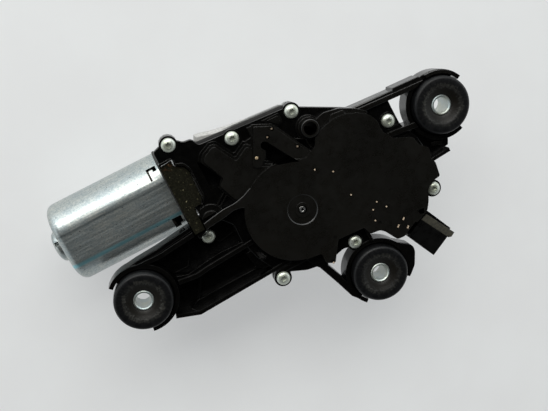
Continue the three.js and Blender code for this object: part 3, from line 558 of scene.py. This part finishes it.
ferrite = dull_solid("ferrite", (0.055, 0.052, 0.050), (0.035, 0.033, 0.032), 0.75)
core_iron = dull_solid("core_iron", (0.16, 0.16, 0.16), (0.09, 0.085, 0.08), 0.45, 0.8)
nylon = dull_solid("nylon", (0.66, 0.60, 0.46), (0.58, 0.50, 0.36), 0.55, 0.0, 4)
brown_plastic = dull_solid("brown_plastic", (0.045, 0.032, 0.022), (0.03, 0.022, 0.016), 0.6)
carbon = dull_solid("carbon", (0.035, 0.035, 0.035), (0.02, 0.02, 0.02), 0.6)
board_green = dull_solid("board_green", (0.03, 0.11, 0.04), (0.02, 0.07, 0.03), 0.45, 0.0, 3)
seal_rubber = dull_solid("seal_rubber", (0.018, 0.018, 0.018), (0.028, 0.027, 0.026), 0.7)
tinned = dull_solid("tinned", (0.72, 0.60, 0.46), (0.60, 0.44, 0.30), 0.4, 0.4, 0.5)
dirt = caked_dust()
rubber = worn_rubber()
casting = cast_metal()
cast_edge = dull_solid("cast_edge", (0.46, 0.455, 0.44), (0.34, 0.335, 0.32), 0.5, 0.35, 1.0)
lip_dust = dull_solid("lip_dust", (0.034, 0.031, 0.019), (0.012, 0.011, 0.007), 0.8, 0.0, 1.2)
can_finish = can_steel()


# -------------------- nodes that keep their CAD shape

kept_nodes = {
    casting: ["gear_housing"],
    bronze: ["rear_bearing", "worm_bearing", "spindle_bearing_lower", "spindle_bearing_upper"],
    ferrite: ["magnet_front", "magnet_rear"],
    shaft_steel: [
        "armature_shaft", "thrust_button", "wheel_axle", "crank_pin", "lever_pin", "retaining_ring",
    ],
    core_iron: ["armature_core"],
    copper: ["winding_rear", "winding_front", "commutator"],
    brown_plastic: ["brush_holder"],
    carbon: ["brush_upper", "brush_lower"],
    nylon: ["worm_wheel"],
    stamped_steel: ["drive_link", "output_lever"],
    seal_rubber: ["cover_gasket", "spindle_seal"],
    board_green: ["circuit_board"],
    tinned: ["terminal_1", "terminal_2", "terminal_3", "terminal_4"],
}


def dress(node, material, edge):
    """Gives a CAD node its material and fine rounded edges."""
    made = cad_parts[node]
    mesh = made.data
    for i in range(len(mesh.materials)):
        mesh.materials[i] = material
    if not len(mesh.materials):
        mesh.materials.append(material)
    mesh.polygons.foreach_set("use_smooth", [True] * len(mesh.polygons))
    weld = made.modifiers.new("weld", "WELD")
    weld.merge_threshold = 1e-6
    flat = made.modifiers.new("flat", "DECIMATE")
    flat.decimate_type = "DISSOLVE"
    flat.angle_limit = math.radians(1)
    bevel = made.modifiers.new("edge", "BEVEL")
    bevel.width = edge * MM
    bevel.segments = 2
    bevel.limit_method = "ANGLE"
    bevel.angle_limit = math.radians(38)
    even_shading(made)


for material, nodes in kept_nodes.items():
    for node in nodes:
        dress(node, material, 0.5 if node == "gear_housing" else 0.15)


# -------------------- brush springs


def brush_spring(side):
    """The coil behind a brush, as a copy of its CAD shape."""
    node = f"brush_spring_{side}"
    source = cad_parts[node]
    bm = bmesh.new()
    bm.from_mesh(source.data)
    bmesh.ops.transform(bm, matrix=Matrix.Scale(1 / MM, 4) @ source.matrix_world, verts=bm.verts)
    coil = piece(f"spring_{side}", bm, shaft_steel, replaces=[node])
    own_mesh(coil)


brush_spring("upper")
brush_spring("lower")


# -------------------- cover and bracket moulding

# Each mount's ring: where it starts and ends, in degrees, and its two radii.
ring_turns = [(28, 292), (-38, 225), (-101, 134)]
ring_inner, ring_outer = 17.2, 19.6

# Plan outlines, in millimetres from the worm wheel's axis.
plate_outline = [
    (-57.3, 10), (-44, 16.8), (-37.2, 9), (-37.4, -2), (-34, -14), (-27, -28), (-12, -34.6), (0, -36.6),
    (12, -33.4), (26, -38), (31, -31.4), (58, -35), (67.1, -30.8), (73.3, -22), (78.8, -20.6),
    (79.4, -11), (78, -3), (76.5, 5), (70.4, 16), (69.6, 27.5), (58, 30.5), (46.3, 38.4),
    (23.3, 50.4), (16.2, 53.6), (-34.1, 57), (-36.2, 61.4), (-41, 62), (-43.6, 64.6), (-51.7, 66),
    (-57.4, 64.2),
]
roof_outline = [
    (-10.6, -26.5), (-1.2, -27.8), (-1.2, -34), (3.6, -36.4), (7.2, -30.4), (10.7, -25), (26.7, -26),
    (28.2, -31), (34, -31.6), (36.4, -33.7), (41.1, -41.4), (46, -41.8), (61, -35.6), (63.5, -34.3),
    (66.3, -29.7), (68.7, -23.4), (73.3, -20.4), (77.9, -19.8), (78.6, -11), (77.1, -8.8), (78.4, -2),
    (73.8, 2.2),
    (72.4, 7.7), (62.2, 12), (58, 18.5), (58, 24.7), (55.1, 30.2), (49.6, 34.2), (42.4, 36.8),
    (36, 37.2), (27.7, 35.2), (23, 32.2), (21, 28.4), (14, 25), (8, 26.4), (-4, 12),
]
wiring_outline = [
    (-36, 48), (-34.4, 50.4), (-28.6, 53), (-27, 52.4), (-20.4, 40.6), (-12.3, 45), (-9.4, 42.6), (-12.6, 36),
    (-9, 31.4), (-2.7, 28), (-15, 24), (-21.8, 21), (-30, 21.6), (-34.2, 32.6), (-30.6, 35.6),
]
hook_outline = [
    (-4.2, 52.9), (4.9, 48.8), (6.5, 46.3), (19.3, 22.9), (9.6, 24.4), (-1.4, 42.5), (-3.4, 43.7),
    (-5.2, 42.4), (-5.2, 40), (-3.8, 38.7), (-5.5, 35.2), (-7.6, 33.9), (-9.4, 31.4), (-12.1, 31.8),
    (-13.9, 34.1), (-10.8, 39.7),
]
hook_pit = [
    (-2.6, 43.4), (10, 24.6), (7, 26), (-1.2, 28.4), (-5.6, 33.4), (-3.6, 38.4), (-5.2, 40), (-5, 43),
]
wiring_pit = [(-37, 47.4), (-31.4, 36.2), (-34.6, 32), (-39, 32.9), (-39.2, 49.4)]
bar_outline = [(1.2, 53), (11.6, 52.9), (11.6, 47.5), (8.4, 46.2), (5.6, 49)]
brush_outline = [
    (-58.2, 13.6), (-52, 13.8), (-51.6, 27.4), (-47.4, 27.6), (-45.6, 31), (-45, 46.8), (-46.5, 50),
    (-51.2, 52.6), (-51, 55.8), (-58.2, 55.2),
]
brush_rim = [
    (-58.4, 57.4), (-50.6, 57.6), (-49.4, 55.2), (-49.6, 53.6), (-46.2, 52.6), (-44.4, 50), (-43.6, 47.4),
    (-43.8, 31.4), (-46, 27.8), (-49, 26.4), (-50.2, 20),
]

# Heights and round features of the moulding. All of it lies between `under` and `over`.
under, over = 40, 90
tongue_low = 58
gear_cover = {"x": -3.4, "y": 1.4, "radius": 28.4}
vent = {"x": 22.7, "y": 38.3, "bore": 3.6}
hub = {"ring": 8.7, "middle": 4.2, "recess": 2.4, "sunk": 0.4}
corner_boss = {"x": -46.5, "y": 17.5, "outer": 8.7, "inner": 5.4}

# Solder tips of the lead frame. Each stands in a small round well.
roof_tips = [
    (15.5, 16.7), (24.2, 11), (27.7, -5.5), (39.1, -16.1), (35.4, -19.2), (43, -21.2), (34, -25.4),
    (2.7, -36), (49.3, -32), (48.7, -32.6), (45, -34.4), (44.3, -35.1), (49.7, -37.6), (49.1, -38.3),
]
hook_tips = [(4.2, 47.5), (0.1, 44.5), (12.6, 32.5)]
empty_wells = [(9.4, -23), (2.4, -34.6), (35.8, -27.7)]


def at_wheel(bm):
    """Moves a shape made in plan coordinates to its place in the frame."""
    bmesh.ops.translate(bm, verts=bm.verts, vec=(wheel.x, wheel.y, 0))
    return bm


def sector(x, y, inner, outer, start, end, low, high, edge=0.4):
    """Part of a ring, between two angles in degrees."""
    steps = 60
    outline = arc(x, y, outer, start, end, steps) + arc(x, y, inner, end, start, steps)
    return prism(outline, low, high, edge)


def stepped(outline, low, levels, edge, corner=1.2):
    """A block whose rim goes down in steps: each level is an inset and a height."""
    return join(*[prism(rounded(inset(outline, grow), corner), low, high, edge) for grow, high in levels])


def tray(outline, floor):
    """A sunk pocket that is deeper than the plate: its solid and its hollow."""
    wall = 1.2
    body = prism(inset(outline, -wall), floor - wall, plate_high - 0.6)
    return body, prism(rounded(outline, 0.8, 3), floor, roof + 2)


def long_arm():
    """The arm to the left mount: a floor, an outer flank, ribs, and a ridge that runs into the gear cover."""
    low, high = arm_low, arm_high
    web = [(-88, 12.5), (-98, 0), (-90, -22), (-76, -27), (-24, -26), (-30, 18), (-57, 15.5)]
    crest = [(-111.3, 9.2), (-104, 12.2), (-93, 13), (-80.3, 12.6), (-57, 15), (-46, 17.6)]
    flank = [(-104, 13), (-93, 14.4), (-80.3, 15.2), (-57, 18), (-46, 20)]
    ridge = [
        (-58, 17), (-50, 19), (-39, 20.8), (-31, 21), (-25.6, 22.2), (-20.2, 24.6), (-14, 22), (-20, 8),
        (-28.6, 16.6), (-33.4, 17.4), (-39.6, 16.2), (-50.8, 15), (-57.2, 12.8),
    ]
    middle = [(-78.4, -5.6), (-68, -7), (-59.3, -6), (-32.2, -4.4)]
    shelf = [
        (-78, -2.4), (-71.6, -4.4), (-62.7, -2.9), (-51, -1.6), (-37.7, -2.2), (-30.5, -2),
        (-31, -5), (-60, -6.4), (-68, -7.4), (-78, -6),
    ]
    ledge = [(-80, -24.4), (-74.3, -21.4), (-38, -20.8), (-28, -21.6), (-20, -24.6), (-76, -27)]
    lower = [(-88.6, -22.2), (-75.8, -26.9), (-18, -24.4)]
    corner_panel = [(-86, 12), (-81.6, 4.7), (-79.1, -1.9), (-70.1, -2.1), (-66, 4), (-62, 13)]
    return join(
        prism(web, low, low + 2.5),
        rib(flank, 2.6, low, high - 1.7, 0.5),
        rib(crest, 2.6, low, high, 0.4),
        prism(rounded(ridge, 1.5), low, roof, 0.5, 3),
        rib(middle, 2.6, low, high, 0.5),
        prism(shelf, low, high - 1.7, 0.5),
        rib(lower, 2.4, low, high, 0.5),
        prism(ledge, low, high - 5.6, 0.5),
        rib([(-66, -9), (-76, -25)], 1.2, low, high - 6, 0.3),
        prism(corner_panel, low, low + 4, 0.4),
        sector(gear_cover["x"], gear_cover["y"], 27, 35, 168, 204, low, high - 2.6, 0.6),
        prism([(-38.4, -9), (-36.8, -20), (-27.4, -23.4), (-20, -24), (-26, -10)], low, high - 2.2, 0.5),
        prism([(-57, 15), (-48, 2), (-37, 4), (-37, 19)], low, low + 4.4, 0.4),
        disc(*arm_screw, 4.6, low, screw_seat, 0.4),
    )


def upper_arm():
    """The arm to the right mount: a long strut, a short one, and the tongue below the ring."""
    tongue = [(72, 9), (73.5, -9), (80, -10), (92, -8.4), (94, -3.6), (86.5, -1.6), (82.5, 2.2), (79.8, 8.6)]
    low = arm_low + 1
    top = plate_high + 2.6
    return join(
        rib([(45, 34.1), (91, 31.3)], 2.9, low, top, 0.5),
        rib([(45, 36), (90, 33.2)], 1.8, low, top - 2.2, 0.6),
        prism([(72, 33), (74, 36.2), (90, 35.4), (92, 31)], low, top - 1.2, 0.6),
        rib([(61, 13.6), (79.6, 11.6)], 3.4, low, arm_high + 1, 0.6),
        rib([(62, 17.4), (70.4, 16)], 1.2, low, plate_high + 0.6, 0.3),
        prism([(48, 34), (58, 12), (70.2, 12.4), (69.4, 33)], plate_low - 1.5, plate_high, 0.4),
        prism(tongue, tongue_low, plate_low - 0.1, 0.5),
        rib([(76, -11), (90.4, -10)], 2.2, tongue_low, plate_high + 1.6, 0.35),
        rib([(82, -2.6), (88, -4.6)], 2.2, tongue_low, plate_high + 1, 0.35),
    )


def lower_arm():
    """The arm to the lower mount, with the corner panel beside its ring."""
    corner = [(40, -44), (48.6, -51), (48.8, -54.6), (45.2, -62.4), (40, -67.4), (34, -60)]
    return join(
        rib([(-6, -28.5), (2.2, -49), (6.2, -60), (11.6, -66.6)], 4.4, arm_low + 1, arm_high, 0.8),
        prism([(-10.8, -26), (-7.5, -34), (-1, -41), (3, -27)], tongue_low, arm_high, 0.6),
        prism(rounded(corner, 1.5), arm_low + 1, arm_high, 0.6),
        rib([(28, -28), (28.2, -37)], 2.2, tongue_low, plate_high + 2),
        rib([(-27, -27.5), (-4, -27.5)], 3, tongue_low, arm_high),
    )


def mount_ring(x, y, start, end):
    """An open ring round a mount, with a thin seat that reaches into the grommet's groove."""
    seat_low, seat_high, seat_inner = grommet_low + 6.1, grommet_low + 9.5, 12.65
    tall = sector(x, y, ring_inner, ring_outer, start, end, arm_low + 1, arm_high, 0.4)
    seat = sector(x, y, seat_inner, ring_inner + 1, start + 12, end - 12, seat_low, seat_high, 0.2)
    return join(tall, seat)


def arms():
    """The three arms, with round wells for the grommets, and their rings."""
    wells = [disc(x, y, ring_inner, under, over) for x, y in mount_plan]
    rings = [mount_ring(x, y, *turn) for (x, y), turn in zip(mount_plan, ring_turns)]
    low, high = arm_high - 1, arm_high + 2.4
    crescent = sector(*mount_plan[0], ring_inner, ring_outer - 0.4, 48, 96, low, high, 0.5)
    return join(cut(join(long_arm(), upper_arm(), lower_arm()), *wells), *rings, crescent)


def plate():
    """The flat cover plate and its screw bosses."""
    bosses = [disc(x, y, 5, plate_low, plate_high + 0.3, 0.4, 48) for x, y in plate_screws]
    return join(prism(rounded(plate_outline, 1.5), plate_low, plate_high, 0.5, 3), *bosses)


def roof_block():
    """The raised block over the gears: the plateau, the round gear cover and their steps beside the vent."""
    low = plate_low
    disc_rim = disc(gear_cover["x"], gear_cover["y"], gear_cover["radius"], low, roof, 0.25, 160)
    steps = [(24, 36), (28.4, 41), (33.3, 42.2), (42, 40.4), (50, 36.4), (56, 31.6), (52, 28), (26, 30)]
    return join(
        prism(rounded(roof_outline, 1.2), low, roof, 0.15),
        prism(rounded(steps, 1.2), low, roof - 2.6, 0.5),
        prism(rounded([(33, 36), (36.4, 39.6), (43.6, 38.8), (44, 34)], 0.8), low, roof - 1.2, 0.4),
        disc_rim,
    )


def vent_tube():
    """The stepped tube of the vent, still without its bore."""
    x, y = vent["x"], vent["y"]
    return join(
        disc(x, y, 7, plate_low, roof - 4.4, 0.5),
        disc(x, y, 6, plate_low, roof - 2.6, 0.4),
        disc(x, y, 5, plate_low, roof + 1.2, 0.5, steps=3),
    )


def hub_dish():
    """The shallow round dish in the middle of the gear cover, as a solid to cut away."""
    floor_z, rim_z, slope = roof - hub["sunk"], roof + 0.1, 0.6
    return turned([(0, floor_z), (hub["ring"] - slope, floor_z), (hub["ring"], rim_z), (0, rim_z)])


def small_reliefs():
    """The corner boss, the brush cover's rim, the wiring blocks and the small ribs on the plate."""
    low, high = plate_low, plate_high
    x, y = corner_boss["x"], corner_boss["y"]
    corner = join(
        disc(x, y, corner_boss["outer"], low, high + 1.4, 0.7),
        disc(x, y, corner_boss["inner"], low, high + 2.8, 0.7),
    )
    rim = prism(rounded(brush_rim, 1.4), low, high + 1.4, 0.7, 3)
    return [
        cut(corner, prism([(-62, 20), (-62, 5), (-30, 5), (-30, 21), (-40.4, 20.6)], under, over)),
        rim,
        stepped(wiring_outline, low, [(-2.6, roof - 5.4), (-1.3, roof - 3.4), (0, roof - 1.2)], 0.6),
        stepped(hook_outline, low, [(-1, roof - 2.6), (0, roof - 0.2)], 0.8, 0.9),
        stepped(bar_outline, low, [(0, high + 1.6), (1, high + 2.4)], 0.5, 0.8),
        prism([(-7.4, 53.6), (-3.4, 53.4), (-6.2, 47.6), (-7.6, 49.5)], low, high + 3, 0.4),
        prism([(-11.9, 47.4), (-6.9, 48), (-9.3, 41.8), (-11.7, 44)], low, high + 2.2, 0.4),
        rib([(13.1, 36.5), (18.5, 33.8), (19.2, 28)], 0.8, low, high + 3, 0.25),
        rib([(-33.4, 28.1), (-40.2, 23.4)], 0.8, high - 1, high + 1.8, 0.25),
        rib([(-32.3, 26.3), (-39.8, 21.6)], 0.8, high - 1, high + 1.8, 0.25),
    ]


def cover_moulding():
    """The whole black moulding, with its screw holes, pockets, wells and pits."""
    high = plate_high
    trays = [tray(wiring_pit, high - 6), tray(hook_pit, high - 7)]
    collar = disc(0, 0, hub["middle"], roof - 1, roof + 0.1, 0.35)
    gears = cut(roof_block(), hub_dish())
    tray_solids = [solid for solid, _ in trays]
    body = join(plate(), arms(), gears, collar, vent_tube(), *small_reliefs(), *tray_solids)
    holes = [disc(x, y, 2.2, under, over, sides=24) for x, y in screw_plan]
    pockets = [disc(x, y, 4.4, high, over, sides=32) for x, y in plate_screws]
    wells = [disc(x, y, 0.95, roof - 0.7, roof + 1, sides=20) for x, y in roof_tips + empty_wells]
    wells += [disc(x, y, 1.2, roof - 2.4, roof + 1, sides=20) for x, y in hook_tips]
    pits = [hollow for _, hollow in trays] + [
        disc(0, 0, hub["recess"], under, over, sides=32),
        disc(vent["x"], vent["y"], vent["bore"], under, over, sides=48),
        prism(inset(brush_outline, -0.7), plate_low - 0.8, roof),
        prism([(-33.4, -9.6), (-31, -11.4), (-28.6, -17.2), (-32.6, -16.4)], arm_low + 3, roof - 5),
        prism([(14.6, 34.6), (17.6, 32.8), (18, 28.8), (16.8, 28.8)], high - 1.8, roof - 3),
        prism([(57.8, -31.6), (62.2, -32.2), (61.1, -35), (59, -34.6)], high + 1, roof + 1),
        prism([(45, -41.9), (54.6, -37), (55.8, -39.4), (46.2, -44.2)], high - 2, roof + 1),
    ]
    return at_wheel(cut(body, *pockets, *holes, *pits, *wells))


def solder_tip(x, y, top, radius=0.58):
    """A small domed pin end."""
    dome = [(0, top - 1.4), (radius, top - 1.4), (radius, top - 0.4), (radius * 0.7, top - 0.1), (0, top)]
    return turned(dome, wheel.x + x, wheel.y + y, 16)


piece("cover_moulding", cover_moulding(), black_plastic, replaces=["cover_bracket"])
tips = [solder_tip(x, y, roof - 0.1) for x, y in roof_tips]
tips += [solder_tip(x, y, roof - 1.2, 0.75) for x, y in hook_tips]
piece("solder_tips", merge(*tips), tinned)
piece("jumper_tip", solder_tip(-10, 37.2, roof + 0.2, 0.85), pin_copper)

connector_top = node_box("connector_shell")[1].z
lip_outline = [(58.2, -38), (62.4, -36.8), (73, -54.6), (70.4, -56.2), (68.6, -55.6)]
connector_lip = at_wheel(prism(lip_outline, connector_top - 3, connector_top + 0.15, 0.4))
piece("connector_lip", connector_lip, lip_dust)


# -------------------- motor can

can_flat = 8.2
can_lip = 1.6
boss_reach = 5.6


def can_size():
    """The can's middle, and half its width and height without the lip of its open end."""
    low, high = node_box("motor_can")
    return (low + high) / 2, (high.y - low.y) / 2 - can_lip, (high.z - low.z) / 2 - can_lip


def can_outline(half_width, half_height):
    """The can's section, in its own plane: a flat top and bottom with round sides."""
    steps = 14
    turns = [math.radians(-90 + 180 * i / steps) for i in range(steps + 1)]
    side = half_width - can_flat
    right = [(can_flat + side * math.cos(a), half_height * math.sin(a)) for a in turns]
    return right + [(-x, -y) for x, y in right]


def can_rings(stations, closed=False):
    """A new mesh with the can's section at each place along X, grown or shrunk, and walls between them."""
    middle, wide, tall = can_size()
    bm = bmesh.new()
    rings = []
    for x, grow in stations:
        outline = can_outline(wide + grow, tall + grow)
        rings.append([bm.verts.new((x, middle.y + a, middle.z + b)) for a, b in outline])
    following = rings[1:] + rings[:1] if closed else rings[1:]
    for a, b in zip(rings, following):
        for i in range(len(a)):
            j = (i + 1) % len(a)
            bm.faces.new((a[i], a[j], b[j], b[i]))
    return bm, rings


def can_boss(x):
    """The domed bearing boss, on the can's closed end at x."""
    radius, sunk = 9.2, 0.4
    top = sunk + boss_reach
    dome = turned([
        (0, 0), (radius, 0), (radius, top - 3.4), (radius - 0.3, top - 2.4), (radius - 1.1, top - 1.5),
        (radius - 2.3, top - 0.9), (radius - 4.6, top - 0.4), (0, top),
    ], sides=64)
    middle = can_size()[0]
    turn = Matrix.Translation((x + sunk, middle.y, middle.z)) @ Matrix.Rotation(math.radians(-90), 4, "Y")
    bmesh.ops.transform(dome, matrix=turn, verts=dome.verts)
    return tidy(dome)


def motor_can():
    """The drawn can, with a rounded far end, a bearing boss with a slot, and two windows at its open end."""
    low, high = node_box("motor_can")
    middle = (low + high) / 2
    wall, corner, steps = 1.8, 4.5, 9
    left, right = low.x + boss_reach, high.x
    turns = [math.radians(90 * i / steps) for i in range(steps, -1, -1)]
    stations = [(left + corner * (1 - math.sin(a)), corner * (math.cos(a) - 1)) for a in turns]
    stations += [(right - can_lip, 0), (right, 0)]
    stations += [(right, -wall), (left + wall + 3, -wall), (left + wall, -wall - 3)]
    bm, rings = can_rings(stations)
    bm.faces.new(rings[0])
    bm.faces.new(rings[-1])
    upper = [(-8, -3.2), (-6.8, -3.2), (-6.8, 2), (-4.6, 2), (-4.6, 0.8), (-2.5, 0.8), (-2.5, 3.2), (-8, 3.2)]
    lower = [(-8, -3.2), (-4.4, -3.2), (-4.4, -1.4), (-2.5, -1.4), (-2.5, 3.2), (-8, 3.2)]
    window_side = 15
    windows = []
    for outline, side in ((upper, window_side), (lower, -window_side)):
        corners = [(right + x, middle.y + side + y) for x, y in outline]
        windows.append(prism(corners, middle.z + 8, middle.z + 18))
    slot = prism([
        (left - 3.6, middle.y + 2.4), (left - 1.2, middle.y + 2.4),
        (left - 1.2, middle.y + 4.6), (left - 3.6, middle.y + 4.6),
    ], middle.z + 6.2, middle.z + 12)
    return cut(join(tidy(bm), can_boss(left)), *windows, slot)


def can_seal():
    """The black lip of the joint, standing a little proud round the can's open end."""
    end = node_box("motor_can")[1].x
    profile = [(end - 1.3, -1), (end - 1.3, 0.5), (end - 1, 0.8), (end, 0.8), (end, -1)]
    return tidy(can_rings(profile, closed=True)[0])


# The housing's edge, which shows beside the cover between two screws.
flange_outline = [
    (-36, 58), (-34, 61.8), (-31.6, 61.6), (-25.4, 59.9), (-17.8, 58.5), (-1, 56.4), (15, 54.8), (8, 50),
    (-30, 54),
]
flange = at_wheel(prism(flange_outline, plate_low - 5, plate_low - 0.6, 1.5, 1))
piece("housing_flange", flange, cast_edge)
piece("can_shell", motor_can(), can_finish, replaces=["motor_can"])
piece("can_seal", can_seal(), seal_rubber)


# -------------------- mounts

def grommet(x, y):
    """A rubber ring with a groove for the bracket, a rounded shoulder and a shallow dish round the bush."""
    low, high = grommet_low, grommet_high
    outer, neck, inner, shoulder = 16.2, 12.4, 5.7, 2.2
    groove = (low + 5.8, low + 9.8)
    turns = [math.radians(a) for a in (0, 20, 40, 60, 80)]
    top = [(outer, groove[1])]
    top += [(outer - shoulder * (1 - math.cos(a)), high - shoulder * (1 - math.sin(a))) for a in turns]
    top += [(12.8, high), (11, high - 0.1), (10.2, high - 0.4), (9, high - 1), (7.6, high - 1.6)]
    top += [(6.4, high - 2), (inner, high - 2.6)]
    foot = [(inner, low), (outer - 1.4, low), (outer - 0.7, low + 0.4), (outer - 0.6, low + 1)]
    foot += [(outer - 0.6, groove[0] - 0.4), (outer - 1.0, groove[0]), (neck, groove[0]), (neck, groove[1])]
    return turned(foot + top, x, y, 128)


def bush(x, y):
    """A steel sleeve with a flange at its lower end."""
    low, high = (corner.z for corner in node_box("bush_1"))
    bore, outer, flange, thick = 4.3, 5.6, 9, 1.1
    return turned([
        (bore, low + 0.4), (bore + 0.4, low), (flange - 0.3, low), (flange, low + 0.3),
        (flange, low + thick - 0.3), (flange - 0.3, low + thick), (outer, low + thick),
        (outer, high - 0.4), (outer - 0.4, high), (bore + 0.5, high), (bore, high - 0.5),
    ], x, y)


for number, place in enumerate(mounts, 1):
    rubber_ring = grommet(place.x, place.y)
    sleeve = bush(place.x, place.y)
    piece(f"rubber_mount_{number}", rubber_ring, rubber, replaces=[f"grommet_{number}"])
    piece(f"steel_bush_{number}", sleeve, bush_steel, replaces=[f"bush_{number}"])


# -------------------- cover screws

def screw(node, turn):
    """A pan-head screw with a smooth dome and a six-lobed recess, turned by some degrees."""
    low, high = node_box(node)
    centre = (low + high) / 2
    head, shank, point = 3.9, 1.95, 1.6
    head_high, rim, dome = 2.6, 0.7, 1.9
    recess, lobe, deep = 1.5, 0.2, 1.5
    seat = high.z - head_high
    profile = [(0, low.z), (point, low.z), (shank, low.z + 0.5), (shank, seat), (head - 0.1, seat)]
    profile += [(head, seat + 0.15), (head, seat + rim)]
    for angle in (math.radians(15 * i) for i in range(1, 6)):
        profile.append((head * math.cos(angle), seat + rim + dome * math.sin(angle)))
    profile.append((0, seat + rim + dome))
    lobes = []
    for angle in (2 * math.pi * i / 72 for i in range(72)):
        reach = recess + lobe * math.cos(6 * angle)
        lobes.append(polar(centre.x, centre.y, reach, angle + math.radians(turn)))
    return cut(turned(profile, centre.x, centre.y, 48), prism(lobes, high.z - deep, high.z + 1))


for number, node in enumerate(screw_nodes, 1):
    piece(f"screw_{number}", screw(node, 17 * number), screw_steel, replaces=[node])

dress("connector_shell", connector_plastic, 0.3)
dress("brush_cover", dirt, 0.3)
dress("hub_pin", pin_steel, 0.3)
dress("output_spindle", shaft_steel, 0.1)


# -------------------- camera, floor and light

def camera():
    """The photograph's camera, fitted to the round mounts and gear cover with an assumed lens."""
    place = Vector((-89.66, 115.35, 466.12))
    right = Vector((0.88394, -0.4311, 0.18112))
    up = Vector((0.4624, 0.8635, -0.20139))
    back = Vector((-0.06958, 0.26177, 0.96262))
    data = bpy.data.cameras.new("camera")
    data.sensor_width = 36
    data.lens = 49.93
    data.clip_end = 10
    made = bpy.data.objects.new("camera", data)
    bpy.context.scene.collection.objects.link(made)
    turn = Matrix((right, up, back)).transposed().to_4x4()
    made.matrix_world = Matrix.Translation(place * MM) @ turn
    bpy.context.scene.camera = made


def floor():
    """A wide pale table that glows a little, so that its shadows stay soft."""
    reach, below = 12000, 0.5
    color = (0.39, 0.40, 0.40)
    finish = Finish("table", color, 0.6, Emission_Color=(0.985, 0.995, 1, 1), Emission_Strength=0.385)
    clouds = finish.ramp(finish.noise(60, 3), 0.3, 0.7)
    finish.set("Base Color", finish.blend(clouds, color, (0.37, 0.375, 0.375)))
    bm = bmesh.new()
    bmesh.ops.create_grid(bm, x_segments=2, y_segments=2, size=reach * MM)
    mesh = bpy.data.meshes.new("floor")
    bm.to_mesh(mesh)
    bm.free()
    mesh.materials.append(finish.material)
    made = bpy.data.objects.new("floor", mesh)
    bpy.context.scene.collection.objects.link(made)
    made.location.z = -below * MM


def lamp(name, place, target, size, power, color):
    """A rectangular lamp. Its places and size are in metres."""
    data = bpy.data.lights.new(name, "AREA")
    data.shape = "RECTANGLE"
    data.size, data.size_y = size
    data.energy = power
    data.color = color
    made = bpy.data.objects.new(name, data)
    bpy.context.scene.collection.objects.link(made)
    made.location = place
    made.rotation_euler = (Vector(target) - Vector(place)).to_track_quat("-Z", "Y").to_euler()


def sky(overhead, around):
    """Soft light from all sides, stronger from the window side, with a dim ceiling."""
    window_side = (0.35, 0.94, 0)
    world = bpy.data.worlds.new("sky")
    bpy.context.scene.world = world
    world.use_nodes = True
    tree = world.node_tree

    def ramp(value, *numbers):
        node = tree.nodes.new("ShaderNodeMapRange")
        node.interpolation_type = "SMOOTHSTEP"
        tree.links.new(value, node.inputs["Value"])
        for socket, number in zip(("From Min", "From Max", "To Min", "To Max"), numbers):
            node.inputs[socket].default_value = number
        return node.outputs["Result"]

    direction = tree.nodes.new("ShaderNodeTexCoord").outputs["Generated"]
    split = tree.nodes.new("ShaderNodeSeparateXYZ")
    tree.links.new(direction, split.inputs[0])
    toward = tree.nodes.new("ShaderNodeVectorMath")
    toward.operation = "DOT_PRODUCT"
    toward.inputs[1].default_value = window_side
    tree.links.new(direction, toward.inputs[0])
    both = tree.nodes.new("ShaderNodeMath")
    both.operation = "MULTIPLY"
    tree.links.new(ramp(split.outputs["Z"], 0.35, 0.78, around, overhead), both.inputs[0])
    tree.links.new(ramp(toward.outputs["Value"], -0.7, 0.5, 0.3, 1.15), both.inputs[1])
    background = tree.nodes["Background"]
    background.inputs["Color"].default_value = (0.93, 0.98, 1.0, 1)
    tree.links.new(both.outputs[0], background.inputs["Strength"])


camera()
floor()
lamp("window", (0.2, 1.25, 1.35), target=(0, 0, 0.03), size=(2.0, 0.9), power=30, color=(1.0, 0.99, 0.95))
sky(overhead=0.008, around=1.5)
bpy.context.scene.view_settings.view_transform = "Standard"
